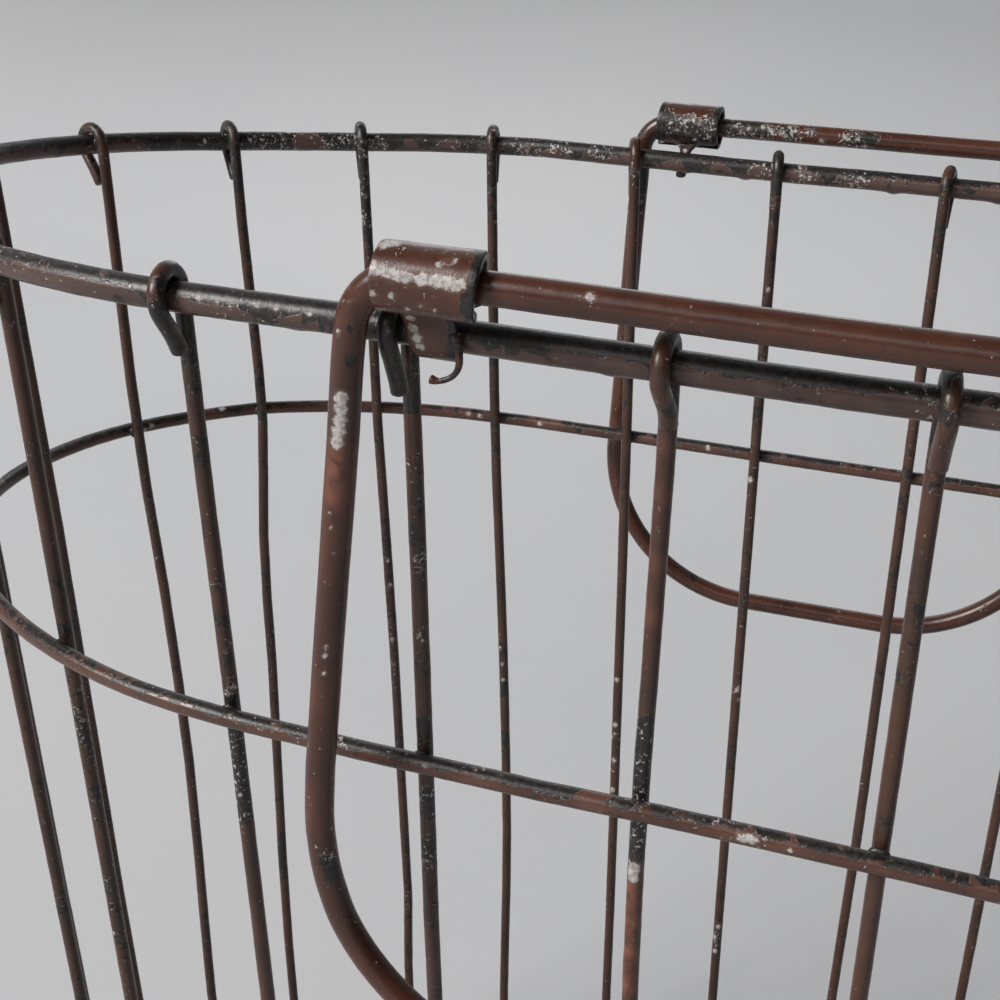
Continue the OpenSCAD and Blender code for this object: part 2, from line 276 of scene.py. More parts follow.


# Single places, per piece: (kind, centre xyz in mm, reach in mm, amount). Most are worn spots of the paint; some rows
# of pale spots are painted highlight bands over chipped paint, and some dark spots are painted shade.
PATCHES = {
    "clip_front_left": [
        # painted highlight: these pale spots lay a highlight band along the barrel's front, over worn paint
        ("bare_and_sheen", (-52.5, -100.8, 332.2), 1.2, 0.85),
        ("bare_and_sheen", (-51.3, -100.0, 332.4), 1.2, 0.85),
        ("bare_and_sheen", (-52.9, -103.6, 329.2), 1.2, 0.85),
        ("bare_and_sheen", (-51.5, -103.6, 329.2), 1.2, 0.85),
        ("bare_and_sheen", (-49.8, -103.6, 329.1), 1.2, 0.85),
        ("bare_and_sheen", (-47.9, -103.6, 328.9), 1.2, 0.85),
        ("bare_and_sheen", (-46.0, -103.6, 328.9), 1.2, 0.85),
        ("bare_and_sheen", (-44.0, -103.7, 328.9), 1.2, 0.85),
        ("bare_and_sheen", (-42.2, -103.7, 328.8), 1.2, 0.85),
        ("bare_and_sheen", (-40.5, -103.7, 328.8), 1.2, 0.85),
        ("bare_and_sheen", (-43.3, -102.5, 331.0), 0.9, 0.62),
        ("bare_and_sheen", (-42.1, -101.9, 331.5), 0.9, 0.62),
        ("bare_and_sheen", (-52.8, -103.6, 326.0), 0.8, 0.7),
        ("bare_and_sheen", (-50.1, -103.6, 326.1), 0.8, 0.7),
        ("bare_and_sheen", (-44.1, -103.8, 326.7), 0.5, 0.5),
        ("bare_and_sheen", (-48.1, -102.5, 324.3), 0.8, 0.6),
        ("bare_and_sheen", (-46.0, -103.2, 325.1), 0.8, 0.6),
        ("bare_and_sheen", (-44.4, -102.8, 324.6), 0.8, 0.6),
        # pale spots down the tongue's left edge: painted highlight along the edge, together with worn paint
        ("bare_and_sheen", (-50.4, -95.8, 321.2), 0.9, 0.85),
        ("bare_and_sheen", (-50.4, -94.6, 319.4), 0.9, 0.85),
        ("bare_and_sheen", (-49.8, -94.4, 317.9), 0.9, 0.85),
        ("bare_and_sheen", (-49.3, -94.2, 316.7), 0.9, 0.85),
        # dark spots at the tongue's right side and the barrel's mouth end are painted shade along with worn black
        # paint; the two negative ones keep the tongue's middle brown
        ("dark", (-43.9, -94.4, 319.6), 0.8, 0.7),
        ("dark", (-40.8, -100.8, 323.0), 0.8, 0.7),
        ("dark", (-43.4, -94.6, 318.2), 0.8, 0.7),
        ("dark", (-47.0, -95.2, 320.5), 1.1, -0.5),
        ("dark", (-46.6, -94.5, 318.4), 1.1, -0.5),
        ("dark", (-39.4, -103.8, 326.9), 0.8, 0.5),
        ("dark", (-39.8, -103.3, 325.4), 0.8, 0.5),
        ("cop", (-46.5, -102.6, 330.9), 1.9, 0.25),
        ("cop", (-43.5, -102.9, 330.5), 1.9, 0.25),
    ],
    "handle_front": [
        ("bare_and_sheen", (-58.6, -100.7, 323.6), 0.7, 0.5),
        ("bare_and_sheen", (-57.5, -100.6, 325.6), 0.7, 0.5),
        ("bare_and_sheen", (-59.0, -101.1, 319.2), 0.6, 0.8),
        ("bare_and_sheen", (-58.5, -101.3, 309.6), 1.3, 1.0),
        ("bare_and_sheen", (-58.5, -101.2, 308.0), 1.3, 1.0),
        ("bare_and_sheen", (-58.6, -101.2, 306.3), 1.3, 1.0),
        ("bare_and_sheen", (-58.9, -101.3, 304.6), 1.3, 1.0),
        ("bare_and_sheen", (-59.1, -101.3, 303.2), 1.3, 1.0),
        ("cop", (-59.1, -101.3, 301.1), 1.9, 0.65),
        ("cop", (-59.2, -101.3, 297.9), 1.9, 0.65),
        ("cop", (-59.5, -101.3, 294.5), 1.9, 0.65),
        ("bare_and_sheen", (-60.2, -101.3, 291.5), 0.5, 0.7),
        ("bare_and_sheen", (-60.0, -101.3, 289.3), 0.5, 0.7),
        ("bare_and_sheen", (-59.6, -101.1, 285.1), 0.5, 0.7),
        ("bare_and_sheen", (-60.8, -101.2, 269.2), 0.6, 0.8),
        ("bare_and_sheen", (-61.0, -101.2, 267.8), 0.6, 0.8),
        ("bare_and_sheen", (-61.2, -101.2, 264.8), 0.6, 0.8),
        ("bare_and_sheen", (-63.7, -101.2, 240.1), 0.5, 0.6),
        ("bare_and_sheen", (-62.6, -101.3, 232.2), 0.5, 0.6),
        ("bare_and_sheen", (-63.9, -101.1, 237.8), 0.5, 0.6),
        ("dark", (-60.8, -100.7, 229.0), 1.4, 0.8),
        ("dark", (-60.0, -100.3, 227.1), 1.4, 0.8),
        ("fleck", (-60.6, -100.3, 230.4), 2.0, 0.7),
        ("fleck", (-59.0, -97.9, 224.1), 2.1, 0.7),
        ("fleck", (-57.1, -97.7, 218.5), 2.1, 0.7),
        ("dark", (-56.9, -101.3, 324.2), 1.3, 0.55),
        ("dark", (-57.2, -101.1, 319.9), 1.3, 0.55),
        ("dark", (-57.0, -100.8, 315.4), 1.3, 0.55),
        ("bare_and_sheen", (-23.4, -100.9, 328.7), 0.9, 0.85),
        ("bare_and_sheen", (-12.1, -101.3, 327.3), 0.5, 0.6),
        ("fleck", (-24.4, -101.2, 328.2), 1.2, 0.5),
        ("fleck", (-22.0, -101.2, 328.1), 1.2, 0.5),
    ],
    "rim_hoop": [
        # near rim left of the clip: darker along the top; the pale row just above the middle of the front is a painted
        # highlight band over peeled paint
        ("dark", (-94.2, -92.2, 319.8), 2.1, 0.8),
        ("dark", (-85.3, -91.3, 320.5), 2.0, 0.8),
        ("dark", (-81.8, -91.7, 320.4), 2.0, 0.8),
        ("dark", (-77.7, -91.6, 320.5), 2.0, 0.8),
        ("dark", (-73.6, -91.6, 320.5), 2.0, 0.8),
        ("dark", (-69.5, -91.5, 320.5), 2.0, 0.8),
        ("dark", (-65.9, -91.6, 320.6), 1.9, 0.8),
        ("bare_and_sheen", (-85.3, -93.0, 319.1), 1.1, 0.66),
        ("bare_and_sheen", (-82.5, -93.1, 319.0), 1.1, 0.66),
        ("bare_and_sheen", (-79.9, -93.0, 319.2), 1.1, 0.66),
        ("bare_and_sheen", (-76.0, -93.0, 319.2), 1.1, 0.66),
        ("bare_and_sheen", (-72.8, -93.0, 319.1), 1.1, 0.66),
        ("bare_and_sheen", (-70.1, -93.0, 319.2), 1.0, 0.66),
        ("bare_and_sheen", (-67.2, -93.0, 319.2), 1.0, 0.66),
        ("bare_and_sheen", (-96.8, -92.4, 319.4), 1.0, 0.42),
        ("bare_and_sheen", (-94.7, -92.7, 319.1), 0.9, 0.42),
        # painted shade: the rim between the front handle's arm and the clip's barrel end is blacked where the barrel
        # shades it
        ("dark", (-56.9, -93.0, 319.1), 2.3, 0.9),
        ("dark", (-53.8, -93.1, 319.0), 2.3, 0.9),
        ("dark", (-58.5, -92.9, 319.4), 2.3, 0.9),
        ("dark", (-37.8, -93.2, 318.7), 3.1, -0.1),
        ("dark", (-34.2, -93.2, 318.6), 3.1, -0.1),
        ("dark", (-30.5, -93.1, 318.8), 3.1, -0.1),
        ("dark", (-26.2, -93.1, 318.8), 3.1, -0.1),
        ("dark", (-22.6, -93.1, 318.7), 3.0, -0.1),
        ("dark", (-19.1, -93.1, 318.6), 3.0, -0.1),
        ("dark", (-9.4, -93.2, 318.3), 3.0, -0.1),
        ("dark", (-4.6, -93.2, 318.4), 3.0, -0.1),
        ("dark", (0.0, -93.1, 318.5), 3.0, -0.1),
        ("dark", (4.6, -93.1, 318.5), 3.0, -0.1),
        ("dark", (9.2, -93.1, 318.5), 3.0, -0.1),
        ("dark", (13.0, -93.1, 318.5), 3.0, -0.1),
        ("fleck", (-37.8, -93.2, 318.7), 3.7, -0.45),
        ("fleck", (-34.2, -93.2, 318.6), 3.7, -0.45),
        ("fleck", (-30.5, -93.1, 318.8), 3.6, -0.45),
        ("fleck", (-26.2, -93.1, 318.8), 3.6, -0.45),
        ("fleck", (-22.6, -93.1, 318.7), 3.6, -0.45),
        ("fleck", (-19.1, -93.1, 318.6), 3.6, -0.45),
        ("fleck", (-9.4, -93.2, 318.3), 3.6, -0.45),
        ("fleck", (-4.6, -93.2, 318.4), 3.5, -0.45),
        ("fleck", (0.0, -93.1, 318.5), 3.5, -0.45),
        ("fleck", (4.6, -93.1, 318.5), 3.5, -0.45),
        ("fleck", (9.2, -93.1, 318.5), 3.5, -0.45),
        ("fleck", (13.0, -93.1, 318.5), 3.5, -0.45),
        ("dark", (-41.2, -92.1, 320.2), 1.7, 0.85),
        ("dark", (-38.3, -92.1, 320.1), 1.7, 0.85),
        ("dark", (-34.5, -92.2, 320.0), 1.7, 0.85),
        ("dark", (-30.9, -92.1, 320.1), 1.7, 0.85),
        ("dark", (-26.6, -92.1, 320.1), 1.7, 0.85),
        ("dark", (-23.0, -92.1, 320.0), 1.7, 0.85),
        ("dark", (-19.4, -92.2, 319.9), 1.7, 0.85),
        ("dark", (-15.9, -92.5, 319.6), 1.7, 0.85),
        ("dark", (-9.7, -92.3, 319.7), 1.6, 0.85),
        ("dark", (-5.0, -92.2, 319.8), 1.6, 0.85),
        ("dark", (-0.3, -92.0, 319.8), 1.6, 0.85),
        ("dark", (4.3, -92.1, 319.8), 1.6, 0.85),
        ("dark", (8.9, -92.0, 319.8), 1.6, 0.85),
        ("dark", (12.8, -92.0, 319.8), 1.6, 0.85),
        ("dark", (-39.3, -93.3, 318.1), 1.6, 0.5),
        ("dark", (-35.6, -93.3, 318.0), 1.5, 0.5),
        ("dark", (-31.9, -93.3, 318.1), 1.5, 0.5),
        ("bare_and_sheen", (-29.0, -93.2, 317.7), 1.3, 0.3),
        ("bare_and_sheen", (-23.3, -93.2, 317.8), 1.2, 0.3),
        ("bare_and_sheen", (-9.3, -93.2, 317.5), 1.2, 0.3),
        ("bare_and_sheen", (-1.2, -93.2, 317.7), 1.2, 0.3),
        ("bare_and_sheen", (6.7, -93.2, 317.9), 1.2, 0.3),
        ("dark", (-177.2, 47.9, 315.1), 2.7, 0.45),
        ("dark", (-171.8, 53.7, 315.2), 2.7, 0.45),
        ("dark", (-166.9, 57.9, 315.3), 2.8, 0.45),
        ("fleck", (-161.6, 61.7, 316.6), 3.6, 0.6),
        ("fleck", (-156.4, 65.7, 317.1), 3.6, 0.6),
        ("fleck", (-152.0, 68.7, 316.7), 3.6, 0.6),
        ("fleck", (-140.5, 75.2, 316.9), 3.6, 0.6),
        ("fleck", (-135.7, 77.6, 316.8), 3.6, 0.6),
        ("dark", (-161.6, 61.7, 316.6), 3.3, 0.6),
        ("dark", (-156.4, 65.7, 317.1), 3.3, 0.6),
        ("dark", (-152.0, 68.7, 316.7), 3.3, 0.6),
        ("dark", (-139.3, 75.9, 316.9), 3.3, 0.6),
        ("dark", (-148.7, 70.8, 317.2), 2.5, -0.7),
        ("dark", (-145.2, 72.8, 317.3), 2.5, -0.7),
        ("bare_and_sheen", (-159.6, 63.4, 317.4), 0.8, 0.7),
        ("bare_and_sheen", (-157.1, 65.4, 315.8), 0.8, 0.7),
        ("bare_and_sheen", (-152.5, 68.6, 317.7), 0.8, 0.7),
        ("bare_and_sheen", (-141.3, 75.0, 316.3), 0.8, 0.7),
        ("bare_and_sheen", (-136.5, 77.3, 317.5), 0.8, 0.7),
        ("bare_and_sheen", (-168.6, 55.8, 317.2), 0.8, 0.7),
        ("dark", (-125.9, 81.7, 318.2), 2.2, 0.5),
        ("dark", (-116.9, 84.4, 318.4), 2.2, 0.5),
        ("dark", (-106.4, 86.7, 318.8), 2.2, 0.5),
        ("dark", (-94.3, 88.5, 319.7), 2.2, 0.5),
        ("dark", (-86.1, 88.8, 319.9), 2.2, 0.5),
        ("dark", (-77.8, 88.6, 319.3), 2.2, 0.5),
        ("dark", (-69.6, 88.5, 319.3), 2.2, 0.5),
        ("fleck", (-129.6, 80.2, 316.5), 2.5, 0.55),
        ("fleck", (-92.8, 88.1, 318.3), 2.5, 0.55),
        ("fleck", (-81.9, 88.6, 319.5), 2.4, 0.55),
        ("fleck", (-70.9, 88.4, 318.7), 2.4, 0.55),
        ("bare_and_sheen", (-128.8, 80.4, 317.1), 0.8, 0.6),
        ("bare_and_sheen", (-111.1, 85.7, 317.2), 0.8, 0.6),
        ("bare_and_sheen", (-95.0, 88.1, 318.9), 0.8, 0.6),
        ("bare_and_sheen", (-90.8, 88.3, 317.9), 0.8, 0.6),
        ("bare_and_sheen", (-73.6, 88.4, 318.9), 0.8, 0.6),
        ("bare_and_sheen", (-67.6, 88.4, 318.5), 0.8, 0.6),
        ("dark", (-56.2, 88.4, 319.0), 2.1, 0.6),
        ("dark", (-44.6, 88.8, 319.5), 2.1, 0.6),
        ("dark", (-34.3, 88.8, 319.5), 2.1, 0.6),
        ("dark", (-11.6, 88.5, 318.9), 2.1, 0.6),
        ("bare_and_sheen", (-56.1, 88.4, 317.7), 0.8, 0.55),
        ("bare_and_sheen", (-43.2, 88.5, 318.9), 0.8, 0.55),
        ("bare_and_sheen", (-30.2, 88.7, 319.4), 0.8, 0.55),
        ("bare_and_sheen", (-18.4, 88.3, 318.0), 0.8, 0.55),
        ("bare_and_sheen", (-4.1, 88.4, 318.4), 0.8, 0.55),
        ("bare_and_sheen", (-9.1, 88.5, 318.9), 0.8, 0.55),
        ("fleck", (-29.0, 88.4, 318.5), 2.6, 0.6),
        ("fleck", (-18.9, 88.3, 318.0), 2.6, 0.6),
        ("fleck", (-5.3, 88.4, 318.1), 2.6, 0.6),
        ("bare_and_sheen", (-169.6, 54.9, 316.2), 0.8, 0.5),
        ("bare_and_sheen", (-173.4, 51.3, 315.8), 0.8, 0.5),
    ],
    "cross_wire_1": [
        ("dark", (-91.9, -88.2, 316.9), 1.3, 0.6),
        ("dark", (-91.1, -88.0, 313.8), 1.3, 0.6),
        ("dark", (-89.9, -89.7, 310.3), 1.3, 0.6),
        ("bare_and_sheen", (-90.7, -87.7, 312.9), 0.6, 0.45),
        ("dark", (-86.8, -85.9, 261.4), 2.1, 0.35),
        ("dark", (-86.3, -85.9, 253.7), 2.1, 0.35),
        ("dark", (-85.8, -85.7, 245.9), 2.1, 0.35),
        ("fleck", (-86.7, -86.0, 257.6), 2.1, 0.5),
        ("fleck", (-86.1, -85.9, 247.9), 2.1, 0.5),
        ("dark", (-85.5, -85.6, 237.8), 2.5, 0.8),
        ("dark", (-85.2, -85.4, 232.6), 2.6, 0.8),
        ("dark", (-84.8, -85.3, 227.3), 2.6, 0.8),
        ("dark", (-84.4, -85.1, 222.0), 2.6, 0.8),
        ("fleck", (-85.5, -85.6, 237.8), 2.5, 0.6),
        ("fleck", (-85.2, -85.4, 232.6), 2.6, 0.6),
        ("fleck", (-84.8, -85.3, 227.3), 2.6, 0.6),
        ("fleck", (-84.4, -85.1, 222.0), 2.6, 0.6),
        ("bare_and_sheen", (-85.2, -85.4, 226.2), 0.7, 0.6),
        ("bare_and_sheen", (-86.0, -85.0, 224.1), 0.8, 0.6),
        ("dark", (-83.8, -84.8, 214.3), 5.7, -0.5),
        ("dark", (-83.0, -84.5, 203.1), 5.9, -0.5),
        ("dark", (-82.2, -84.2, 189.1), 6.1, -0.5),
        ("bare_and_sheen", (-100.0, 87.4, 322.4), 0.8, 0.8),
        ("bare_and_sheen", (-97.5, 85.1, 298.6), 0.8, 0.8),
        ("bare_and_sheen", (-88.7, 80.5, 172.7), 0.9, 0.8),
        ("bare_and_sheen", (-87.7, 80.3, 167.7), 0.9, 0.8),
        ("bare_and_sheen", (-87.1, 80.1, 162.4), 0.9, 0.8),
        ("dark", (-88.7, 80.5, 172.1), 3.0, 0.5),
        ("dark", (-86.9, 80.0, 159.0), 3.1, 0.5),
        ("dark", (-85.3, 79.5, 142.1), 3.1, 0.5),
    ],
    "cross_wire_2": [
        ("dark", (-54.1, -96.0, 320.1), 1.7, 0.9),
        ("dark", (-52.8, -94.5, 317.1), 1.7, 0.9),
        ("dark", (-52.4, -92.6, 312.4), 1.8, 0.9),
        ("dark", (-53.2, -88.0, 307.1), 1.8, 0.9),
        ("bare_and_sheen", (-54.0, -95.9, 320.2), 0.6, 0.62),
        ("bare_and_sheen", (-53.6, -96.2, 318.8), 0.6, 0.62),
        ("fleck", (-52.3, -87.6, 296.7), 2.4, 0.45),
        ("fleck", (-51.6, -87.1, 279.8), 2.5, 0.45),
        ("fleck", (-51.0, -86.7, 265.5), 2.6, 0.45),
        ("bare_and_sheen", (-53.0, -87.4, 289.1), 0.5, 0.5),
        ("bare_and_sheen", (-51.1, -86.7, 263.3), 0.5, 0.5),
        ("bare_and_sheen", (-50.9, -86.6, 261.7), 0.5, 0.5),
        ("bare_and_sheen", (-50.6, -86.4, 253.4), 0.5, 0.5),
        ("dark", (-50.1, -86.2, 248.6), 2.4, 0.5),
        ("dark", (-49.6, -85.9, 242.8), 2.4, 0.5),
        ("dark", (-48.9, -85.4, 234.7), 2.4, 0.5),
        ("dark", (-48.6, -85.3, 224.4), 2.5, 0.5),
        ("fleck", (-49.2, -85.6, 234.7), 2.4, 0.5),
        ("fleck", (-48.6, -85.3, 222.3), 2.5, 0.5),
        ("dark", (-61.4, 86.3, 320.8), 3.7, -0.5),
        ("dark", (-60.9, 85.5, 310.8), 3.7, -0.5),
        ("dark", (-60.3, 85.1, 297.9), 3.8, -0.5),
        ("dark", (-59.6, 84.7, 284.6), 3.8, -0.5),
        ("bare_and_sheen", (-58.7, 84.2, 268.3), 1.0, 0.85),
        ("bare_and_sheen", (-52.5, 81.1, 169.7), 1.0, 0.85),
        ("bare_and_sheen", (-51.8, 80.6, 154.8), 1.1, 0.85),
        ("bare_and_sheen", (-51.1, 80.2, 143.0), 1.1, 0.85),
        ("bare_and_sheen", (-50.8, 79.9, 132.6), 1.1, 0.85),
        ("fleck", (-51.2, 80.4, 151.6), 3.0, 0.5),
        ("fleck", (-50.8, 80.1, 139.7), 3.1, 0.5),
    ],
    "cross_wire_3": [
        ("dark", (-13.3, -91.9, 322.2), 1.0, 1.2),
        ("dark", (-13.4, -88.2, 319.3), 1.0, 1.2),
        ("dark", (-13.1, -87.5, 316.8), 1.0, 1.2),
        ("dark", (-13.2, -87.6, 314.3), 1.0, 1.2),
        ("dark", (-13.3, -87.8, 312.2), 1.0, 1.2),
        ("dark", (-12.7, -92.2, 311.9), 1.0, 1.2),
        ("dark", (-15.8, -94.9, 320.3), 1.5, -0.5),
        ("dark", (-15.4, -96.0, 318.5), 1.5, -0.5),
        ("dark", (-14.6, -95.8, 315.5), 1.5, -0.5),
        ("dark", (-14.2, -91.8, 310.3), 1.5, -0.5),
        ("dark", (-14.8, -87.9, 304.5), 2.9, -0.5),
        ("dark", (-14.7, -87.5, 296.6), 2.9, -0.5),
        ("dark", (-14.5, -87.3, 286.9), 3.0, -0.5),
        ("dark", (-14.0, -87.1, 277.0), 3.0, -0.5),
        ("dark", (-13.8, -86.7, 266.6), 3.1, -0.5),
        ("cop", (-14.4, -94.8, 314.1), 2.5, 0.28),
        ("cop", (-14.8, -87.9, 304.5), 2.6, 0.28),
        ("cop", (-14.6, -87.6, 296.7), 2.6, 0.28),
        ("cop", (-14.5, -87.3, 286.9), 2.7, 0.28),
        ("cop", (-14.0, -87.1, 277.0), 2.7, 0.28),
        ("dark", (-13.4, -86.5, 256.7), 2.7, 0.9),
        ("dark", (-13.3, -86.3, 251.1), 2.7, 0.9),
        ("dark", (-13.2, -86.2, 245.4), 2.8, 0.9),
        ("dark", (-12.9, -85.9, 239.6), 2.8, 0.9),
        ("dark", (-12.8, -85.8, 235.7), 2.9, 0.9),
        ("fleck", (-13.4, -86.5, 256.7), 2.7, 0.5),
        ("fleck", (-13.3, -86.3, 251.1), 2.7, 0.5),
        ("fleck", (-13.2, -86.2, 245.4), 2.8, 0.5),
        ("fleck", (-12.9, -85.9, 239.6), 2.8, 0.5),
        ("fleck", (-12.8, -85.8, 235.7), 2.9, 0.5),
        ("bare_and_sheen", (-12.9, -85.7, 231.0), 1.4, 0.9),
        ("bare_and_sheen", (-12.9, -85.6, 229.0), 1.4, 0.9),
        ("cop", (-13.0, -85.4, 225.4), 2.6, 0.85),
        ("cop", (-12.8, -85.3, 219.2), 2.6, 0.85),
        ("cop", (-12.5, -85.1, 212.8), 2.7, 0.85),
        ("cop", (-12.4, -84.8, 206.3), 2.7, 0.85),
        ("dark", (-13.0, -85.4, 225.4), 2.6, -0.8),
        ("dark", (-12.8, -85.3, 219.2), 2.6, -0.8),
        ("dark", (-12.5, -85.1, 212.8), 2.7, -0.8),
        ("dark", (-12.4, -84.8, 206.3), 2.7, -0.8),
        ("bare_and_sheen", (-22.9, 84.8, 289.1), 0.9, 0.85),
        ("bare_and_sheen", (-21.4, 83.3, 237.2), 1.0, 0.85),
        ("bare_and_sheen", (-17.6, 81.2, 174.1), 1.0, 0.85),
        ("bare_and_sheen", (-16.7, 81.6, 170.9), 1.0, 0.85),
        ("bare_and_sheen", (-14.0, 78.6, 93.5), 1.1, 0.85),
        ("bare_and_sheen", (-14.0, 78.4, 84.6), 1.1, 0.85),
        ("fleck", (-17.3, 81.3, 174.2), 2.9, 0.5),
        ("fleck", (-13.8, 78.5, 88.8), 3.2, 0.5),
        ("dark", (-24.2, 86.3, 320.5), 2.4, 0.4),
        ("dark", (-24.2, 85.6, 315.6), 2.4, 0.4),
    ],
    "upper_ring": [
        ("dark", (-82.2, -88.2, 244.9), 1.4, 0.6),
        ("dark", (-71.9, -88.0, 244.8), 1.4, 0.6),
        ("dark", (-57.4, -87.5, 244.7), 1.4, 0.6),
        ("dark", (-44.9, -87.2, 244.7), 1.3, 0.6),
        ("dark", (-33.1, -86.8, 244.5), 1.3, 0.6),
        ("dark", (-2.8, -86.8, 245.0), 1.3, 0.6),
        ("dark", (6.6, -86.9, 245.1), 1.3, 0.6),
        ("dark", (15.6, -87.8, 245.4), 1.3, 0.6),
        ("bare_and_sheen", (-85.1, -89.0, 244.3), 0.7, 0.6),
        ("bare_and_sheen", (-83.1, -89.2, 244.0), 0.7, 0.6),
        ("bare_and_sheen", (-50.2, -89.2, 243.8), 0.7, 0.6),
        ("bare_and_sheen", (-48.6, -89.2, 243.8), 0.7, 0.6),
        ("bare_and_sheen", (-43.9, -87.6, 244.8), 0.7, 0.6),
        ("bare_and_sheen", (-40.3, -88.0, 244.8), 0.7, 0.6),
        ("bare_and_sheen", (-35.9, -88.3, 244.7), 0.7, 0.6),
        ("bare_and_sheen", (4.0, -89.3, 244.0), 1.0, 0.9),
        ("bare_and_sheen", (5.6, -89.4, 244.1), 1.0, 0.9),
        ("bare_and_sheen", (11.2, -89.4, 243.8), 0.6, 0.9),
        ("bare_and_sheen", (-21.1, -89.3, 242.9), 0.7, 0.55),
        ("bare_and_sheen", (-18.9, -89.4, 242.9), 0.7, 0.55),
        ("bare_and_sheen", (-16.4, -88.8, 244.7), 0.7, 0.55),
        ("fleck", (-64.4, -88.1, 244.7), 2.4, 0.4),
        ("fleck", (-39.5, -87.7, 244.8), 2.3, 0.4),
        ("fleck", (-12.7, -87.2, 245.1), 2.3, 0.4),
        ("fleck", (6.5, -88.4, 245.2), 2.3, 0.4),
        ("bare_and_sheen", (-177.3, 34.2, 243.0), 1.0, 0.8),
        ("bare_and_sheen", (-176.2, 36.0, 243.8), 1.0, 0.8),
        ("bare_and_sheen", (-164.2, 52.6, 245.3), 1.0, 0.8),
        ("bare_and_sheen", (-139.7, 70.4, 244.8), 1.0, 0.8),
        ("bare_and_sheen", (-119.0, 79.7, 243.6), 1.0, 0.8),
        ("bare_and_sheen", (-102.9, 84.0, 243.5), 1.0, 0.8),
        ("bare_and_sheen", (-99.5, 84.5, 243.2), 1.0, 0.8),
        ("bare_and_sheen", (-82.0, 86.0, 243.0), 1.0, 0.8),
        ("bare_and_sheen", (-34.1, 86.1, 243.5), 1.0, 0.8),
        ("dark", (-176.6, 35.7, 244.4), 1.9, 0.5),
        ("dark", (-172.2, 43.7, 245.1), 2.0, 0.5),
        ("dark", (-161.5, 55.0, 245.3), 2.0, 0.5),
        ("dark", (-134.9, 73.3, 244.9), 2.0, 0.5),
        ("dark", (-93.8, 85.3, 243.2), 2.0, 0.5),
        ("dark", (-70.3, 86.0, 243.1), 2.0, 0.5),
        ("dark", (-42.1, 86.8, 244.3), 1.9, 0.5),
        ("dark", (-19.9, 86.2, 243.7), 1.9, 0.5),
    ],
    "long_wire_5": [
        ("dark", (-166.6, 64.0, 318.0), 2.5, 0.7),
        ("dark", (-164.8, 61.9, 311.9), 2.5, 0.7),
        ("dark", (-162.1, 58.3, 308.0), 2.5, 0.7),
        ("fleck", (-166.0, 63.2, 314.3), 2.5, 0.6),
        ("fleck", (-163.4, 60.2, 308.4), 2.5, 0.6),
    ],
    "corner_wire_3": [
        ("dark", (-133.0, 76.5, 319.5), 2.5, 0.9),
        ("dark", (-132.1, 76.0, 313.1), 2.5, 0.9),
        ("dark", (-131.6, 75.8, 306.6), 2.5, 0.9),
        ("dark", (-130.9, 75.7, 300.0), 2.5, 0.9),
        ("dark", (-130.3, 75.7, 294.1), 2.5, 0.9),
        ("fleck", (-132.4, 76.0, 315.7), 2.5, 0.85),
        ("fleck", (-131.6, 75.8, 306.6), 2.5, 0.85),
        ("fleck", (-130.6, 75.7, 297.3), 2.5, 0.85),
        ("bare_and_sheen", (-131.6, 76.2, 310.0), 0.8, 0.7),
        ("bare_and_sheen", (-131.5, 75.6, 303.7), 0.8, 0.7),
        ("bare_and_sheen", (-130.4, 75.8, 295.7), 0.8, 0.7),
        ("bare_and_sheen", (-132.1, 76.6, 317.5), 0.8, 0.7),
        ("bare_and_sheen", (-122.2, 72.9, 198.6), 0.9, 0.8),
        ("bare_and_sheen", (-121.3, 72.7, 190.7), 0.9, 0.8),
        ("bare_and_sheen", (-120.1, 72.1, 172.9), 0.9, 0.8),
    ],
    "clip_back_left": [
        ("fleck", (-52.8, 93.5, 327.1), 2.4, 0.68),
        ("fleck", (-48.9, 93.6, 327.4), 2.4, 0.68),
        ("fleck", (-45.7, 93.5, 326.9), 2.4, 0.68),
        ("bare_and_sheen", (-51.0, 93.6, 327.4), 1.1, 0.55),
        ("bare_and_sheen", (-49.2, 94.3, 329.3), 1.1, 0.55),
        ("bare_and_sheen", (-46.4, 93.8, 328.3), 1.1, 0.55),
        ("bare_and_sheen", (-49.2, 93.6, 325.1), 1.1, 0.55),
        ("bare_and_sheen", (-52.4, 93.5, 325.8), 1.1, 0.55),
        ("bare_and_sheen", (-44.7, 93.5, 327.0), 1.1, 0.55),
        ("bare_and_sheen", (-47.3, 94.2, 323.7), 1.1, 0.55),
        ("dark", (-51.2, 96.4, 331.2), 1.9, -0.5),
        ("dark", (-46.0, 96.6, 331.3), 1.9, -0.5),
        ("dark", (-51.4, 93.5, 325.9), 2.4, 0.5),
        ("dark", (-46.1, 93.5, 325.9), 2.4, 0.5),
        ("bare_and_sheen", (-49.7, 94.5, 320.6), 0.7, 0.9),
    ],
    "handle_back": [
        ("bare_and_sheen", (-37.8, 96.7, 327.7), 0.8, 0.7),
        ("bare_and_sheen", (-33.9, 96.6, 327.3), 0.8, 0.7),
        ("bare_and_sheen", (-28.2, 96.6, 327.6), 0.8, 0.7),
        ("bare_and_sheen", (-22.4, 96.7, 327.8), 0.8, 0.7),
        ("bare_and_sheen", (-18.1, 96.7, 327.7), 0.8, 0.7),
        ("bare_and_sheen", (-9.0, 96.5, 327.0), 0.8, 0.7),
        ("bare_and_sheen", (-6.8, 96.5, 327.0), 0.8, 0.7),
        ("dark", (-39.2, 97.0, 328.1), 3.2, 0.42),
        ("dark", (-35.3, 96.8, 327.9), 3.2, 0.42),
        ("dark", (-30.0, 96.6, 327.6), 3.2, 0.42),
        ("dark", (-23.6, 96.5, 327.2), 3.2, 0.42),
        ("dark", (-17.3, 96.5, 327.0), 3.2, 0.42),
